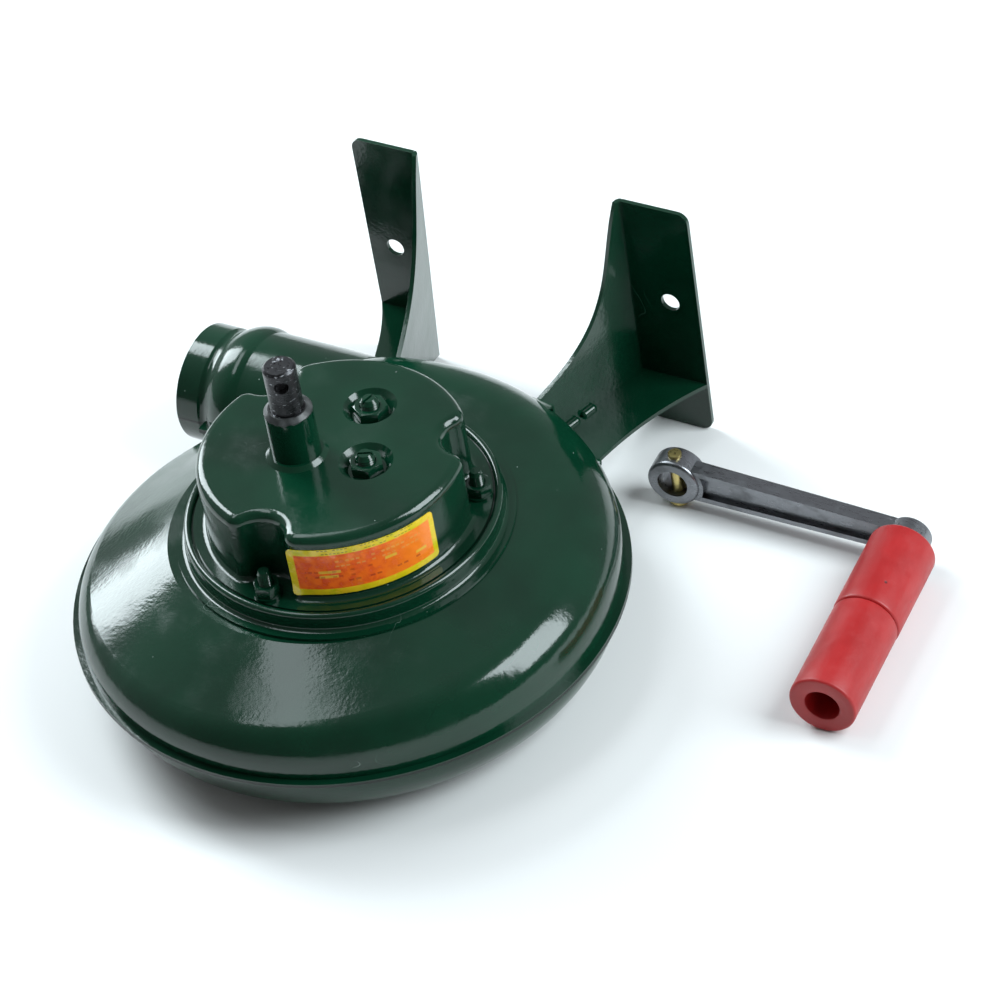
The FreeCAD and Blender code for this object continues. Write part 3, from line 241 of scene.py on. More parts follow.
def scratch_group():
    """Fine scratches that run along the stretched direction, and broad rubs."""
    g, i, o = group_of("Scratches",
                       [("Stretch", "NodeSocketVector", (1, 1, 1)), ("Scale", "NodeSocketFloat", 300.0),
                        ("Amount", "NodeSocketFloat", 0.5)],
                       [("Line", "NodeSocketFloat"), ("Rub", "NodeSocketFloat"),
                        ("Grain", "NodeSocketFloat")])
    at = add(g, "ShaderNodeTexCoord").outputs["Object"]
    long = add(g, "ShaderNodeVectorMath", {0: at, 1: i.outputs["Stretch"]}, operation="MULTIPLY").outputs[0]
    fine = noise(g, long, i.outputs["Scale"], 4.0, 0.7)
    edge = sums(g, "MULTIPLY_ADD", i.outputs["Amount"], -0.2)
    edge.node.inputs[2].default_value = 0.78
    top_edge = sums(g, "ADD", edge, 0.06)
    g.links.new(band(g, fine, edge, top_edge), o.inputs["Line"])
    g.links.new(band(g, noise(g, at, 120.0, 4.0, 0.6), 0.45, 0.75), o.inputs["Rub"])
    g.links.new(noise(g, long, sums(g, "MULTIPLY", i.outputs["Scale"], 2.3), 3.0, 0.6), o.inputs["Grain"])
    return g


def height_group():
    """Mask by height, with a ragged edge."""
    g, i, o = group_of("Ragged height", [("From", "NodeSocketFloat", 0.0), ("To", "NodeSocketFloat", 0.1),
                                         ("Ragged", "NodeSocketFloat", 0.002)],
                       [("Mask", "NodeSocketFloat")])
    at = add(g, "ShaderNodeTexCoord").outputs["Object"]
    z = add(g, "ShaderNodeSeparateXYZ", {0: at}).outputs[2]
    shake = sums(g, "MULTIPLY", sums(g, "SUBTRACT", noise(g, at, 420.0, 3.0), 0.5), i.outputs["Ragged"])
    n = add(g, "ShaderNodeMapRange", {"Value": sums(g, "ADD", z, shake), "From Min": i.outputs["From"],
                                      "From Max": i.outputs["To"]}, interpolation_type="SMOOTHSTEP")
    g.links.new(n.outputs["Result"], o.inputs["Mask"])
    return g


GROUPS = {}


def part_of(tree, name, **values):
    if name not in GROUPS:
        GROUPS[name] = {"film": film_group, "scratch": scratch_group, "height": height_group}[name]()
    n = tree.nodes.new("ShaderNodeGroup")
    n.node_tree = GROUPS[name]
    for key, value in values.items():
        n.inputs[key].default_value = value
    return n


def new_material(name, **constants):
    mat = bpy.data.materials.new(name)
    mat.use_nodes = True
    tree = mat.node_tree
    shader = tree.nodes["Principled BSDF"]
    for key, value in constants.items():
        shader.inputs[key.replace("_", " ")].default_value = value
    return mat, tree, shader


def bumped(tree, shader, height, distance, strength=1.0):
    b = add(tree, "ShaderNodeBump", {"Height": height, "Distance": distance, "Strength": strength})
    tree.links.new(b.outputs["Normal"], shader.inputs["Normal"])


# ------------------------------------------------------------------ finishes
def green_paint(p, name="Green gloss paint", bare_from=None, wave=0.5):
    """Gloss paint; above bare_from metres the bare metal shows."""
    mat, tree, shader = new_material(name, IOR=1.52)
    film = part_of(tree, "film", Peel=p.peel, Nibs=p.nibs, Wave=wave)
    deep = tuple(c * 0.78 for c in p.green)
    pale = tuple(c * 1.22 for c in p.green)
    tone = blendof(tree, band(tree, film.outputs["Tone"], 0.3, 0.7), deep, pale)
    dusty = blendof(tree, film.outputs["Speck"], tone, (0.30, 0.36, 0.33))
    rough = band(tree, film.outputs["Dull"], 0.0, 1.0, p.gloss * 0.8, p.gloss * 1.5)
    rough = sums(tree, "ADD", rough, sums(tree, "MULTIPLY", film.outputs["Speck"], 0.35))
    if bare_from is not None:
        mask = part_of(tree, "height", From=bare_from, To=bare_from + 0.4 * MM, Ragged=2.6 * MM)
        worn = part_of(tree, "scratch", Stretch=(1, 1, 3), Scale=420.0, Amount=0.9)
        metal = blendof(tree, worn.outputs["Rub"], (0.008, 0.010, 0.010), (0.075, 0.080, 0.080))
        dusty = blendof(tree, mask.outputs["Mask"], dusty, metal)
        rough = sums(tree, "ADD", rough, sums(tree, "MULTIPLY", mask.outputs["Mask"], 0.22))
    tree.links.new(dusty, shader.inputs["Base Color"])
    tree.links.new(rough, shader.inputs["Roughness"])
    bumped(tree, shader, film.outputs["Height"], 0.00034)
    return mat


def shell_paint(p):
    """Gloss paint of the half shells, with painted shade darkening the crease where the two shells meet, and
    the paint rubbed in a few spots.
    """
    mat, tree, shader = new_material("Housing paint", IOR=1.52)
    film = part_of(tree, "film", Peel=p.peel, Nibs=p.nibs, Wave=0.5)
    deep = tuple(c * 0.74 for c in p.green)
    pale = tuple(c * 1.22 for c in p.green)
    tone = blendof(tree, band(tree, film.outputs["Tone"], 0.3, 0.7), deep, pale)
    dusty = blendof(tree, film.outputs["Speck"], tone, (0.24, 0.30, 0.27))
    above = part_of(tree, "height", From=SEAM_Z - 1.0 * MM, To=SEAM_Z - 0.4 * MM, Ragged=0.4 * MM)
    below = part_of(tree, "height", From=SEAM_Z + 0.4 * MM, To=SEAM_Z + 1.0 * MM, Ragged=0.4 * MM)
    # mask of the narrow band where the two shells meet; it carries painted shade and a rougher film
    seam_shade = sums(tree, "SUBTRACT", above.outputs["Mask"], below.outputs["Mask"], True)
    worn = part_of(tree, "scratch", Stretch=(1, 1, 0.4), Scale=110.0, Amount=0.35)
    chip = sums(tree, "MULTIPLY", seam_shade, worn.outputs["Line"])
    # painted shade: the paint in the crease where the two shells meet is darkened nearly to black
    color = blendof(tree, seam_shade, dusty, (0.0010, 0.0045, 0.0028))
    color = blendof(tree, chip, color, (0.16, 0.18, 0.18))
    rough = band(tree, film.outputs["Dull"], 0.0, 1.0, p.gloss * 0.8, p.gloss * 1.5)
    dull = sums(tree, "MAXIMUM", film.outputs["Speck"], seam_shade)
    rough = sums(tree, "ADD", rough, sums(tree, "MULTIPLY", dull, 0.3))
    tree.links.new(color, shader.inputs["Base Color"])
    tree.links.new(rough, shader.inputs["Roughness"])
    bumped(tree, shader, film.outputs["Height"], 0.00034)
    return mat


def metal(name, base, dark, bright, rough, stretch, scale, amount, depth, metallic=1.0):
    """Bare or plated metal with grain, rubs and bright scratches."""
    mat, tree, shader = new_material(name)
    s = part_of(tree, "scratch", Stretch=stretch, Scale=scale, Amount=amount)
    c = blendof(tree, s.outputs["Rub"], base, dark)
    c = blendof(tree, s.outputs["Line"], c, bright)
    r = band(tree, s.outputs["Grain"], 0.2, 0.8, rough * 0.8, rough * 1.25)
    r = sums(tree, "ADD", r, sums(tree, "MULTIPLY", s.outputs["Rub"], 0.10))
    m = band(tree, s.outputs["Rub"], 0.0, 1.0, metallic, metallic * 0.82)
    tree.links.new(c, shader.inputs["Base Color"])
    tree.links.new(r, shader.inputs["Roughness"])
    tree.links.new(m, shader.inputs["Metallic"])
    h = sums(tree, "ADD", s.outputs["Grain"], sums(tree, "MULTIPLY", s.outputs["Line"], -0.8))
    bumped(tree, shader, h, depth)
    return mat


def zinc_sheet():
    """Galvanised sheet with its spangle."""
    mat, tree, shader = new_material("Galvanised sheet")
    at = add(tree, "ShaderNodeTexCoord").outputs["Object"]
    cells = add(tree, "ShaderNodeTexVoronoi", {"Vector": at, "Scale": 130.0})
    tone = add(tree, "ShaderNodeSeparateColor", {"Color": cells.outputs["Color"]})
    s = part_of(tree, "scratch", Stretch=(1, 1, 1), Scale=240.0, Amount=0.4)
    c = blendof(tree, tone.outputs[0], (0.34, 0.35, 0.37), (0.55, 0.56, 0.58))
    c = blendof(tree, s.outputs["Rub"], c, (0.42, 0.42, 0.40))
    tree.links.new(c, shader.inputs["Base Color"])
    tree.links.new(band(tree, tone.outputs[1], 0.0, 1.0, 0.26, 0.48), shader.inputs["Roughness"])
    tree.links.new(band(tree, s.outputs["Rub"], 0.0, 1.0, 0.95, 0.75), shader.inputs["Metallic"])
    bumped(tree, shader, s.outputs["Grain"], 0.00004)
    return mat


def red_plastic(g):
    """Moulded plastic, paler where it is rubbed, with small dark nicks."""
    mat, tree, shader = new_material("Red moulded plastic", IOR=1.49)
    at = add(tree, "ShaderNodeTexCoord").outputs["Object"]
    s = part_of(tree, "scratch", Stretch=(1, 0.35, 1), Scale=160.0, Amount=0.55)
    mottle = noise(tree, at, 40.0, 3.0)
    c = blendof(tree, band(tree, mottle, 0.35, 0.65), g.red, tuple(min(1, v * 1.16 + 0.004) for v in g.red))
    c = blendof(tree, sums(tree, "MULTIPLY", s.outputs["Rub"], 0.30), c, (0.40, 0.026, 0.027))
    spots = add(tree, "ShaderNodeTexVoronoi", {"Vector": at, "Scale": 110.0})
    pick = add(tree, "ShaderNodeSeparateColor", {"Color": spots.outputs["Color"]})
    nick = sums(tree, "MULTIPLY", band(tree, spots.outputs["Distance"], 0.10, 0.05),
                band(tree, pick.outputs[0], 0.93, 0.95))
    c = blendof(tree, nick, c, (0.10, 0.012, 0.014))
    tree.links.new(c, shader.inputs["Base Color"])
    r = band(tree, s.outputs["Grain"], 0.2, 0.8, 0.34, 0.46)
    r = sums(tree, "ADD", r, sums(tree, "MULTIPLY", s.outputs["Rub"], 0.10))
    tree.links.new(r, shader.inputs["Roughness"])
    h = sums(tree, "ADD", noise(tree, at, 900.0, 2.0), sums(tree, "MULTIPLY", nick, -2.0))
    bumped(tree, shader, h, 0.00005)
    return mat


def printed_film(l):
    """Glossy printed film: border, panel with a painted sheen, and blank blocks, placed by the piece's UV
    map.
    """
    mat, tree, shader = new_material("Printed film", IOR=1.5, Coat_Weight=0.6, Coat_Roughness=0.06)
    uv = add(tree, "ShaderNodeUVMap", uv_map="UVMap").outputs[0]
    at = add(tree, "ShaderNodeTexCoord").outputs["Object"]
    xy = add(tree, "ShaderNodeSeparateXYZ", {0: uv})
    u, v = xy.outputs[0], xy.outputs[1]

    def between(value, low, high, soft):
        return sums(tree, "MULTIPLY", band(tree, value, low - soft, low + soft),
                    band(tree, value, high + soft, high - soft))

    def block(u0, u1, v0, v1, soft=0.004):
        """Mask of one upright rectangle on the UV map."""
        return sums(tree, "MULTIPLY", between(u, u0, u1, soft), between(v, v0, v1, soft * 2))

    inside = block(0.045, 0.962, 0.125, 0.872)
    uneven = noise(tree, at, 260.0, 4.0)
    panel = blendof(tree, band(tree, uneven, 0.35, 0.7), l.panel, (0.80, 0.070, 0.008))
    # painted sheen: the panel is painted a brighter orange towards one end of the label
    panel_sheen = blendof(tree, band(tree, u, 0.45, 0.95), panel, (1.0, 0.24, 0.014))
    border = blendof(tree, band(tree, noise(tree, at, 150.0, 3.0), 0.4, 0.7), l.border, (0.62, 0.56, 0.0))
    c = blendof(tree, inside, border, panel_sheen)
    for place in ((0.19, 0.33, 0.47, 0.53), (0.19, 0.31, 0.37, 0.43),
                  (0.62, 0.70, 0.52, 0.58), (0.83, 0.91, 0.34, 0.40)):
        c = blendof(tree, sums(tree, "MULTIPLY", block(*place), 0.75), c, (0.82, 0.55, 0.05))

    def marks(across, up, part, place, color, strength):
        """Rows of small blank blocks of uneven length."""
        grid = add(tree, "ShaderNodeVectorMath", {0: uv, 1: (across, up, 0)}, operation="MULTIPLY")
        cell = add(tree, "ShaderNodeVectorMath", {0: grid.outputs[0]}, operation="FLOOR")
        rest = add(tree, "ShaderNodeVectorMath", {0: grid.outputs[0]}, operation="FRACTION")
        inner = add(tree, "ShaderNodeSeparateXYZ", {0: rest.outputs[0]}).outputs
        pick = add(tree, "ShaderNodeTexWhiteNoise", {"Vector": cell.outputs[0]}, noise_dimensions="3D")
        bar = sums(tree, "MULTIPLY", band(tree, inner[0], 0.12, 0.18), band(tree, inner[0], 0.88, 0.80))
        row = sums(tree, "MULTIPLY", band(tree, inner[1], 0.28, 0.36), band(tree, inner[1], 0.72, 0.64))
        chosen = band(tree, pick.outputs["Value"], part, part + 0.02)
        shown = sums(tree, "MULTIPLY", sums(tree, "MULTIPLY", bar, row), chosen)
        shown = sums(tree, "MULTIPLY", shown, block(*place))
        return blendof(tree, sums(tree, "MULTIPLY", shown, strength), c, color)

    c = marks(30, 9.0, 0.38, (0.30, 0.88, 0.60, 0.82), (0.86, 0.40, 0.09), 0.60)
    c = marks(22, 9.0, 0.50, (0.36, 0.95, 0.20, 0.34), (0.30, 0.012, 0.006), 0.55)
    c = marks(26, 9.0, 0.62, (0.10, 0.60, 0.34, 0.60), (0.34, 0.014, 0.006), 0.45)
    c = marks(40, 10.6, 0.35, (0.20, 0.84, 0.90, 0.99), (0.05, 0.035, 0.005), 0.9)
    # painted sheen: scattered patches of the label are painted a brighter orange
    painted_sheen = band(tree, noise(tree, at, 70.0, 2.0), 0.52, 0.66)
    c = blendof(tree, sums(tree, "MULTIPLY", painted_sheen, 0.22), c, (0.95, 0.42, 0.03))
    tree.links.new(c, shader.inputs["Base Color"])
    tree.links.new(band(tree, uneven, 0.3, 0.7, 0.16, 0.30), shader.inputs["Roughness"])
    bumped(tree, shader, noise(tree, at, 190.0, 3.0), 0.00018)
    return mat


# ------------------------------------------------------------------ modelling tools
def object_mode():
    if bpy.context.object and bpy.context.object.mode != "OBJECT":
        bpy.ops.object.mode_set(mode="OBJECT")


def only(obj):
    object_mode()
    bpy.ops.object.select_all(action="DESELECT")
    obj.select_set(True)
    bpy.context.view_layer.objects.active = obj


def named(name):
    obj = bpy.context.object
    obj.name = name
    obj.data.name = name
    return obj


def settle(obj, body, mat, *nodes, angle=32.0, slot=None):
    """Applies the piece's place, smooths it, gives it its material, and rides it on its body."""
    only(obj)
    bpy.ops.object.transform_apply(location=True, rotation=True, scale=True)
    bpy.ops.object.mode_set(mode="EDIT")
    bpy.ops.mesh.select_all(action="SELECT")
    bpy.ops.mesh.remove_doubles(threshold=1e-6)
    bpy.ops.mesh.normals_make_consistent(inside=False)
    bpy.ops.object.mode_set(mode="OBJECT")
    bpy.ops.object.shade_smooth_by_angle(angle=math.radians(angle))
    obj.data.materials.clear()
    obj.data.materials.append(mat)
    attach(obj, body)
    if nodes:
        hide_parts(*nodes)
    return obj


def turned(name, profile, steps=64, closed=False):
    """A turned piece about the upright axis through the origin: a ring is drawn out along the profile."""
    object_mode()
    bpy.ops.object.select_all(action="DESELECT")
    r, h = profile[0]
    bpy.ops.mesh.primitive_circle_add(vertices=steps, radius=r, location=(0, 0, 0))
    obj = named(name)
    bpy.ops.object.mode_set(mode="EDIT")
    bpy.ops.mesh.select_mode(type="EDGE")
    bpy.ops.mesh.select_all(action="SELECT")
    bpy.ops.transform.translate(value=(0, 0, h))
    for r2, h2 in profile[1:]:
        bpy.ops.mesh.extrude_region_move(TRANSFORM_OT_translate={"value": (0, 0, h2 - h)})
        k = r2 / r
        if abs(k - 1) > 1e-9:
            bpy.ops.transform.resize(value=(k, k, 1), center_override=(0, 0, h2))
        r, h = r2, h2
    bpy.ops.mesh.select_all(action="SELECT")
    if closed:
        bpy.ops.mesh.remove_doubles(threshold=1e-6)
    else:
        bpy.ops.mesh.fill_holes(sides=0)
    bpy.ops.mesh.select_all(action="SELECT")
    bpy.ops.mesh.normals_make_consistent(inside=False)
    bpy.ops.object.mode_set(mode="OBJECT")
    return obj


def finish_with(obj, kind, **values):
    """Adds a modifier, sets it and applies it."""
    only(obj)
    m = obj.modifiers.new(kind.title(), kind)
    for key, value in values.items():
        setattr(m, key, value)
    bpy.ops.object.modifier_apply(modifier=m.name)


def cut_by(obj, tool, operation="DIFFERENCE"):
    finish_with(obj, "BOOLEAN", object=tool, operation=operation, solver="EXACT")
    bpy.data.objects.remove(tool)


def copied(obj, name):
    twin = obj.copy()
    twin.data = obj.data.copy()
    bpy.context.scene.collection.objects.link(twin)
    twin.name = name
    twin.data.name = name
    return twin


def spots(node, apart):
    """The middles and heights of the like solids in one CAD node, as (x, y, low z, high z)."""
    found = []
    for v in NODES[node].data.vertices:
        for g in found:
            if math.hypot(v.co.x - g[0].x, v.co.y - g[0].y) < apart:
                g[1].append(v.co)
                break
        else:
            found.append((v.co, [v.co]))
    out = []
    for _, points in found:
        xs = [p.x for p in points]
        ys = [p.y for p in points]
        zs = [p.z for p in points]
        out.append(((min(xs) + max(xs)) / 2, (min(ys) + max(ys)) / 2, min(zs), max(zs)))
    return out


def nut_size(node, x, y, apart):
    """Width across flats, bore radius and turn in degrees of the CAD nut at x, y."""
    def away(p):
        return math.hypot(p.x - x, p.y - y)

    near = [v.co for v in NODES[node].data.vertices if away(v.co) < apart]
    corner = max(near, key=away)
    turn_deg = math.degrees(math.atan2(corner.y - y, corner.x - x)) - 90
    return away(corner) * math.sqrt(3), min(map(away, near)), turn_deg


def softened(name, node, width, body, mat, segments=2, angle=28.0):
    """A CAD node's mesh with its loose corners joined, flat faces cleaned and its edges rounded."""
    obj = copied(NODES[node], name)
    for key in list(obj.keys()):
        del obj[key]
    obj.parent = None
    obj.matrix_world = Matrix.Identity(4)
    only(obj)
    bpy.ops.mesh.customdata_custom_splitnormals_clear()
    bpy.ops.object.mode_set(mode="EDIT")
    bpy.ops.mesh.select_mode(type="VERT")
    bpy.ops.mesh.select_all(action="SELECT")
    bpy.ops.mesh.remove_doubles(threshold=2e-6)
    bpy.ops.mesh.dissolve_limited(angle_limit=math.radians(0.8))
    bpy.ops.object.mode_set(mode="OBJECT")
    finish_with(obj, "BEVEL", width=width, segments=segments, limit_method="ANGLE",
                angle_limit=math.radians(angle), use_clamp_overlap=True, miter_outer="MITER_ARC")
    only(obj)
    bpy.ops.object.shade_smooth_by_angle(angle=math.radians(35))
    finish_with(obj, "WEIGHTED_NORMAL", keep_sharp=True, weight=60)
    obj.data.materials.clear()
    obj.data.materials.append(mat)
    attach(obj, body)
    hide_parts(node)
    return obj


def thread(r, low, high, pitch, point=0.8):
    """Profile of a threaded rod from low to high, with a cone at its top."""
    depth = pitch * 0.42
    rows = [(r * 0.3, low), (r - depth, low)]
    z = low + pitch * 0.3
    stop = high - depth * 1.6
    while z + pitch < stop:
        rows += [(r - depth, z), (r, z + pitch * 0.42), (r, z + pitch * 0.55)]
        z += pitch
    rows += [(r - depth, z), (r * point, high - depth * 0.4), (r * point - depth * 0.4, high),
             (r * 0.25, high)]
    return rows


def nut(name, flats, height, bore, turn_deg, rounding):
    """A chamfered hexagon nut standing on the origin."""
    object_mode()
    bpy.ops.object.select_all(action="DESELECT")
    corner = flats / math.sqrt(3)
    bpy.ops.mesh.primitive_cylinder_add(vertices=6, radius=corner, depth=height, location=(0, 0, height / 2),
                                        rotation=(0, 0, math.radians(turn_deg)))
    obj = named(name)
    bpy.ops.object.transform_apply(location=True, rotation=True, scale=True)
    c = corner - flats / 2
    past = 0.2 * MM
    lens = turned("chamfer", [(RIM, -past), (flats * 0.46, -past), (corner * 1.02, c * 0.66),
                              (corner * 1.02, height - c * 0.66), (flats * 0.46, height + past),
                              (RIM, height + past)], 71)
    cut_by(obj, lens, "INTERSECT")
    drill = turned("drill", [(RIM, -1.0 * MM), (bore + 0.5 * MM, -1.0 * MM), (bore, 0.5 * MM),
                             (bore, height - 0.5 * MM), (bore + 0.9 * MM, height + 0.4 * MM),
                             (RIM, height + 0.4 * MM)], 48)
    cut_by(obj, drill)
    finish_with(obj, "BEVEL", width=rounding, segments=2, limit_method="ANGLE", angle_limit=math.radians(24))
    if len(obj.data.polygons) < 20:
        raise RuntimeError(name + " lost its faces when it was cut")
    return obj


# ------------------------------------------------------------------ operators
FINISH = {}


class BLOWER_OT_finishes(bpy.types.Operator):
    """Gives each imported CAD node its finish"""
    bl_idname = "blower.finishes"
    bl_label = "Finishes"

    def execute(self, context):
        s = context.scene.blower
        m = s.metal
        FINISH["paint"] = green_paint(s.paint)
        FINISH["shell"] = shell_paint(s.paint)
        FINISH["sleeve"] = green_paint(s.paint, "Sleeve paint, worn to metal at its top",
                                       top("crank_sleeve") - 2.4 * MM, 0.3)
        FINISH["shaft"] = metal("Turned bare steel", m.bare, (0.020, 0.020, 0.022), (0.42, 0.43, 0.46), 0.27,
                                (1.0, 1.0, 5.0), 260.0, 0.9, 0.00006, 0.92)
        FINISH["gear"] = metal("Machined gear steel", (0.40, 0.40, 0.40), (0.22, 0.20, 0.17),
                               (0.66, 0.66, 0.66), 0.34,
                               (1.0, 1.0, 6.0), 300.0, 0.4, 0.00004)
        FINISH["fan"] = zinc_sheet()
        FINISH["crank"] = metal("Plated crank", m.cast, (0.15, 0.155, 0.165), (0.60, 0.61, 0.64), 0.30,
                                (0.5, 3.0, 3.0), 170.0, 0.5, 0.00010)
        FINISH["zinc"] = metal("Yellow zinc", m.zinc, (0.34, 0.27, 0.11), (0.80, 0.72, 0.45), 0.30,
                               (1.0, 1.0, 4.0), 300.0, 0.4, 0.00004)
        FINISH["pin"] = metal("Plated pin", (0.52, 0.53, 0.55), (0.28, 0.28, 0.28), (0.80, 0.80, 0.82), 0.28,
                              (4.0, 1.0, 4.0), 300.0, 0.4, 0.00004)
        FINISH["red"] = red_plastic(s.grip)
        FINISH["film"] = printed_film(s.label)
        use = {"shell": ("front_shell", "rear_shell"), "sleeve": ("crank_sleeve",),
               "paint": ("gear_pan", "gear_cover", "cover_studs", "cover_washers", "cover_nuts", "weld_nuts",
                         "pivot_screws", "lock_nuts", "right_leg", "left_leg", "weld_beads"),
               "shaft": ("crank_shaft", "shaft_clip", "shaft_spacer", "lay_shaft", "fan_shaft",
                         "shaft_bushes"),
               "gear": ("crank_gear", "lay_pinion", "lay_gear", "fan_pinion"),
               "fan": ("fan_plate", "fan_hub", "fan_nut", "fan_blades", "fan_rivets", "grip_washer"),
               "crank": ("crank_arm",), "zinc": ("crank_screw",), "pin": ("grip_pin",),
               "red": ("grip_outer", "grip_inner"), "film": ("label",)}
        for key, names in use.items():
            for n in names:
                slots = NODES[n].data.materials
                if len(slots):
                    for i in range(len(slots)):
                        slots[i] = FINISH[key]
                else:
                    slots.append(FINISH[key])
        return {"FINISHED"}


class BLOWER_OT_label(bpy.types.Operator):
    """Makes the printed label, wrapped on the gear cover with one corner lifting"""
    bl_idname = "blower.label"
    bl_label = "Label"

    def execute(self, context):
        lift = context.scene.blower.label.lift
        axis = middle("gear_cover")
        low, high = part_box("label")
        points = [v.co for v in NODES["label"].data.vertices]
        far = max(math.hypot(p.x - axis.x, p.y - axis.y) for p in points)
        turns = [math.atan2(p.y - axis.y, p.x - axis.x) for p in points]
        start, end = min(turns), max(turns)
        object_mode()
        bpy.ops.object.select_all(action="DESELECT")
        bpy.ops.mesh.primitive_grid_add(x_subdivisions=90, y_subdivisions=34, size=1.0)
        obj = named("label_film")
        sheet = obj.data
        size_u, size_v = far * (end - start), high.z - low.z
        corner = 0.0022
        layer = sheet.uv_layers.active or sheet.uv_layers.new(name="UVMap")
        layer.name = "UVMap"
        flat = []
        for v in sheet.vertices:
            u, w = v.co.x + 0.5, v.co.y + 0.5
            x, y = u * size_u, w * size_v
            for cx, cy in ((corner, corner), (size_u - corner, corner), (corner, size_v - corner),
                           (size_u - corner, size_v - corner)):
                if (x - cx) * (cx - size_u / 2) > 0 and (y - cy) * (cy - size_v / 2) > 0:
                    d = math.hypot(x - cx, y - cy)
                    m = max(abs(x - cx), abs(y - cy))
                    if d > 0:
                        x, y = cx + (x - cx) * m / d, cy + (y - cy) * m / d
            flat.append((x, y))
        for loop in sheet.loops:
            x, y = flat[loop.vertex_index]
            layer.data[loop.index].uv = (x / size_u, y / size_v)
        for v, (x, y) in zip(sheet.vertices, flat):
            peel = max(0.0, 1.0 - (x / (0.13 * size_u) + y / (0.26 * size_v)))
            dent = 0.00003 * math.sin(x * 900) * math.sin(y * 700 + x * 210)
            r = far - 0.00022 + dent + lift * peel ** 1.8
            a = start + x / far
            v.co = (axis.x + r * math.cos(a), axis.y + r * math.sin(a), low.z + y)
        finish_with(obj, "SOLIDIFY", thickness=0.0002, offset=1.0)
        settle(obj, "blower", FINISH["film"], "label", slot="label_film")
        return {"FINISHED"}


class BLOWER_OT_grip(bpy.types.Operator):
    """Turns the two halves of the red grip, with rounded ends and a fine parting line"""
    bl_idname = "blower.grip"
    bl_label = "Grip"

    def execute(self, context):
        g = context.scene.blower.grip
        joint = [j for j in frame["joints"] if j["name"] == "grip_spin"][0]
        axis = Vector(joint["axis"]).normalized()
        origin = Vector(joint["pos_m"])
        for node, name in (("grip_outer", "grip_outer_half"), ("grip_inner", "grip_inner_half")):
            points = [v.co - origin for v in NODES[node].data.vertices]
            along = [p.dot(axis) for p in points]
            t0, t1 = min(along), max(along)
            away = [(p - axis * p.dot(axis)).length for p in points]
            r, b = max(away), min(away)
            inner = [(a, t) for a, t in zip(away, along) if a < r * 0.7]
            wide = max(a for a, _ in inner)
            step = min(t for a, t in inner if a > wide - 0.0001)
            q = g.rounding
            rows = [(b + 0.0006, t0), (r - q, t0)]
            rows += [(r - q + q * math.sin(math.radians(a)), t0 + q - q * math.cos(math.radians(a)))
                     for a in (22, 45, 68, 90)]
            ends = rows
            body = [(r, t0 + (t1 - t0) * k) for k in (0.15, 0.3, 0.5, 0.7, 0.85)]
            tail = [(r - q + q * math.cos(math.radians(a)), t1 - q + q * math.sin(math.radians(a)))
                    for a in (0, 22, 45, 68)]
            rows = ends + body + tail + [(r - q, t1), (wide + 0.0008, t1), (wide + 0.0002, t1 - 0.0003),
                                         (wide, t1 - 0.0009)]
            if wide > b + 0.0005:
                rows += [(wide, step + 0.0006), (wide - 0.0006, step), (b, step)]
            rows += [(b, t0 + 0.0006), ends[0]]
            obj = turned(name, rows, 96, closed=True)
            for v in obj.data.vertices:
                d = math.hypot(v.co.x, v.co.y)
                if d > r * 0.97 and abs(v.co.x) < r * 0.02:
                    v.co.y *= (r - 0.00010) / r
            obj.rotation_mode = "QUATERNION"
            obj.rotation_quaternion = Vector((0, 0, 1)).rotation_difference(axis)
            obj.location = origin
            settle(obj, "grip", FINISH["red"], node, slot="red_plastic")
        return {"FINISHED"}


class BLOWER_OT_pivots(bpy.types.Operator):
    """Makes the two threaded pivot screws and their lock nuts"""
    bl_idname = "blower.pivots"
    bl_label = "Pivot screws"

    def execute(self, context):
        m = context.scene.blower.metal
        z_low, z_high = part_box("pivot_screws")[0].z, top("pivot_screws")
        for n, (x, y, z0, z1) in enumerate(spots("lock_nuts", PIVOT_NUT_APART)):
            flats, bore, turn_deg = nut_size("lock_nuts", x, y, PIVOT_NUT_APART)
            piece = nut(f"lock_nut_{n + 1}", flats, z1 - z0, bore, turn_deg, m.edge * 0.5)
            piece.location = (x, y, z0)
            settle(piece, "blower", FINISH["paint"], "lock_nuts", slot="green_paint")
            profile = thread(bore - THREAD_GAP, z_low, z_high, m.thread_pitch * 1.2, 0.72)
            screw = turned(f"pivot_screw_{n + 1}", profile, 48)
            slot_box = self.slot(x, y, z_high, n)
            screw.location = (x, y, 0)
            only(screw)
            bpy.ops.object.transform_apply(location=True, rotation=True, scale=True)
            cut_by(screw, slot_box)
            settle(screw, "blower", FINISH["paint"], "pivot_screws", slot="green_paint", angle=40)
        return {"FINISHED"}

    def slot(self, x, y, z, n):
        """The cutter of a screwdriver slot, turned differently on each screw."""
        object_mode()
        bpy.ops.object.select_all(action="DESELECT")
        turn = math.radians(25 + 50 * n)
        bpy.ops.mesh.primitive_cube_add(size=1, location=(x, y, z), rotation=(0, 0, turn))
        box = named("driver_slot")
        box.scale = (12 * MM, 1.1 * MM, 3.0 * MM)
        return box


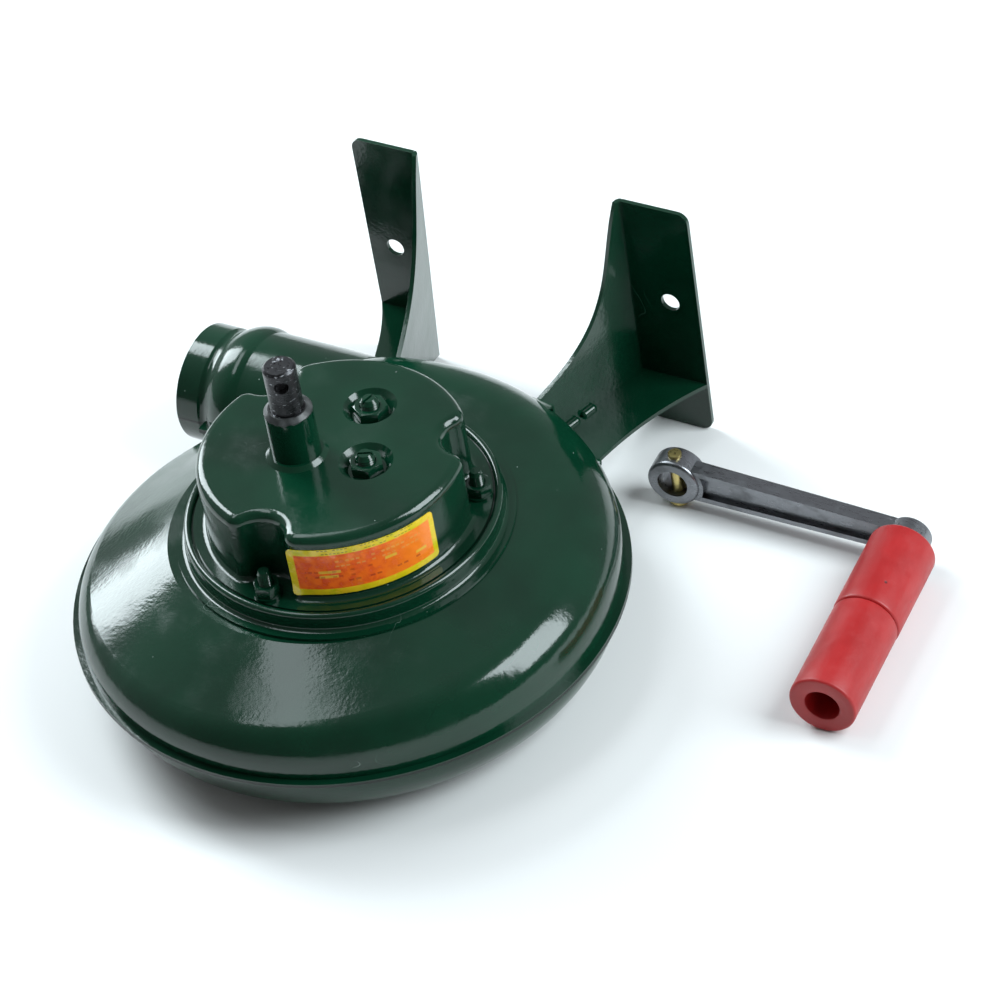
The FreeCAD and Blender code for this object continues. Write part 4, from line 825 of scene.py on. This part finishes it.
class BLOWER_OT_cover_fasteners(bpy.types.Operator):
    """Makes the threaded studs and nuts that hold the gear cover"""
    bl_idname = "blower.cover_fasteners"
    bl_label = "Cover fasteners"

    def execute(self, context):
        m = context.scene.blower.metal
        z_low, z_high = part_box("cover_studs")[0].z, top("cover_studs")
        for n, (x, y, z0, z1) in enumerate(spots("cover_nuts", COVER_NUT_APART)):
            flats, bore, turn_deg = nut_size("cover_nuts", x, y, COVER_NUT_APART)
            piece = nut(f"cover_nut_{n + 1}", flats, z1 - z0, bore, turn_deg, m.edge * 0.4)
            piece.location = (x, y, z0)
            settle(piece, "blower", FINISH["paint"], "cover_nuts", slot="green_paint")
            profile = thread(bore - THREAD_GAP, z_low, z_high, m.thread_pitch, 0.8)
            stud = turned(f"cover_stud_{n + 1}", profile, 40)
            stud.location = (x, y, 0)
            settle(stud, "blower", FINISH["paint"], "cover_studs", slot="green_paint", angle=40)
        return {"FINISHED"}


class BLOWER_OT_legs(bpy.types.Operator):
    """Rounds the folded edges of the two sheet legs"""
    bl_idname = "blower.legs"
    bl_label = "Legs"

    def execute(self, context):
        m = context.scene.blower.metal
        for node, name in (("right_leg", "right_leg_folded"), ("left_leg", "left_leg_folded")):
            softened(name, node, m.edge * 1.2, "blower", FINISH["paint"])
        return {"FINISHED"}


class BLOWER_OT_crank(bpy.types.Operator):
    """Rounds the edges of the forged crank arm and of its clamp screw"""
    bl_idname = "blower.crank"
    bl_label = "Crank"

    def execute(self, context):
        m = context.scene.blower.metal
        softened("crank_arm_forged", "crank_arm", m.edge * 1.3, "crank", FINISH["crank"], 3)
        softened("clamp_screw", "crank_screw", m.edge * 0.5, "crank", FINISH["zinc"])
        return {"FINISHED"}


class BLOWER_OT_stage(bpy.types.Operator):
    """Sets the floor, the two softboxes, the room light and the camera"""
    bl_idname = "blower.stage"
    bl_label = "Stage"

    def execute(self, context):
        s = context.scene.blower.stage
        object_mode()
        bpy.ops.object.select_all(action="DESELECT")
        bpy.ops.mesh.primitive_circle_add(vertices=96, radius=6.0, fill_type="NGON", location=(0, 0, 0))
        floor = named("table_top")
        mat, tree, shader = new_material("Table top")
        at = add(tree, "ShaderNodeTexCoord").outputs["Object"]
        shade = band(tree, noise(tree, at, 3.0, 2.0), 0.3, 0.7)
        tone = blendof(tree, shade, tuple(c * 0.985 for c in s.floor), s.floor)
        tree.links.new(tone, shader.inputs["Base Color"])
        tree.links.new(band(tree, shade, 0.0, 1.0, 0.62, 0.70), shader.inputs["Roughness"])
        floor.data.materials.append(mat)

        def softbox(name, az, el, wide, tall, power, lean=0.0):
            a, e = math.radians(az), math.radians(el)
            way = Vector((math.sin(a) * math.cos(e), math.cos(a) * math.cos(e), math.sin(e)))
            bpy.ops.object.select_all(action="DESELECT")
            bpy.ops.object.light_add(type="AREA", location=way * LAMP_DISTANCE + LAMP_AIM)
            lamp = bpy.context.object
            lamp.name = name
            lamp.data.name = name
            lamp.data.shape = "RECTANGLE"
            lamp.data.size = wide
            lamp.data.size_y = tall
            lamp.data.energy = power
            lamp.data.color = (0.86, 0.96, 1.0)
            lamp.rotation_mode = "QUATERNION"
            facing = way.to_track_quat("Z", "Y")
            lamp.rotation_quaternion = facing @ Matrix.Rotation(math.radians(lean), 3, "Z").to_quaternion()

        softbox("softbox_left", -73, 32, 0.50, 1.05, s.softbox, 8)
        softbox("softbox_right", 74, 37, 0.62, 1.00, s.softbox, -4)
        softbox("softbox_above", -90, 70, 0.95, 0.30, s.softbox * 0.17)

        world = bpy.data.worlds.new("Room")
        world.use_nodes = True
        context.scene.world = world
        back = world.node_tree.nodes["Background"]
        tree = world.node_tree
        way = add(tree, "ShaderNodeTexCoord").outputs["Generated"]
        xyz = add(tree, "ShaderNodeSeparateXYZ", {0: way})
        behind = sums(tree, "SUBTRACT", xyz.outputs[1], sums(tree, "MULTIPLY", xyz.outputs[0], 0.55))
        dim = band(tree, behind, -0.75, 0.55)
        tint = blendof(tree, dim, (0.20, 0.20, 0.20), (0.62, 0.64, 0.67))
        tree.links.new(tint, back.inputs["Color"])
        back.inputs["Strength"].default_value = s.room * 2.0

        az, el, roll = CAMERA_AZIMUTH, CAMERA_ELEVATION, CAMERA_ROLL
        way = Vector((math.sin(az) * math.cos(el), math.cos(az) * math.cos(el), -math.sin(el)))
        right = way.cross(Vector((0, 0, 1))).normalized()
        up = right.cross(way)
        x_axis = right * math.cos(roll) + up * math.sin(roll)
        y_axis = up * math.cos(roll) - right * math.sin(roll)
        turn = Matrix((x_axis, y_axis, -way)).transposed()
        bpy.ops.object.select_all(action="DESELECT")
        bpy.ops.object.camera_add(location=CAMERA_PLACE, rotation=turn.to_euler())
        camera = bpy.context.object
        camera.name = "camera"
        camera.data.lens = s.lens
        camera.data.sensor_width = 36.0
        camera.data.dof.use_dof = False
        context.scene.camera = camera
        context.scene.view_settings.view_transform = "Standard"
        return {"FINISHED"}


class BLOWER_PT_panel(bpy.types.Panel):
    """Lists the sizes and colours and the steps that build the blower"""
    bl_label = "Hand-crank blower"
    bl_idname = "BLOWER_PT_panel"
    bl_space_type = "VIEW_3D"
    bl_region_type = "UI"
    bl_category = "Blower"

    def draw(self, context):
        settings = context.scene.blower
        for group in (settings.paint, settings.metal, settings.grip, settings.label, settings.stage):
            column = self.layout.box().column()
            for key in group.bl_rna.properties.keys():
                if key not in ("rna_type", "name"):
                    column.prop(group, key)
        for step in STEPS:
            self.layout.operator(step.bl_idname)


STEPS = (BLOWER_OT_finishes, BLOWER_OT_label, BLOWER_OT_grip, BLOWER_OT_pivots, BLOWER_OT_cover_fasteners,
         BLOWER_OT_legs, BLOWER_OT_crank, BLOWER_OT_stage)
CLASSES = (BlowerPaint, BlowerMetal, BlowerGrip, BlowerLabel, BlowerStage, BlowerSettings,
           *STEPS, BLOWER_PT_panel)


def register():
    for c in CLASSES:
        bpy.utils.register_class(c)
    bpy.types.Scene.blower = PointerProperty(type=BlowerSettings)


def unregister():
    del bpy.types.Scene.blower
    for c in reversed(CLASSES):
        bpy.utils.unregister_class(c)


def main():
    register()
    bpy.ops.blower.finishes()
    bpy.ops.blower.label()
    bpy.ops.blower.grip()
    bpy.ops.blower.pivots()
    bpy.ops.blower.cover_fasteners()
    bpy.ops.blower.legs()
    bpy.ops.blower.crank()
    bpy.ops.blower.stage()


if __name__ == "__main__":
    main()
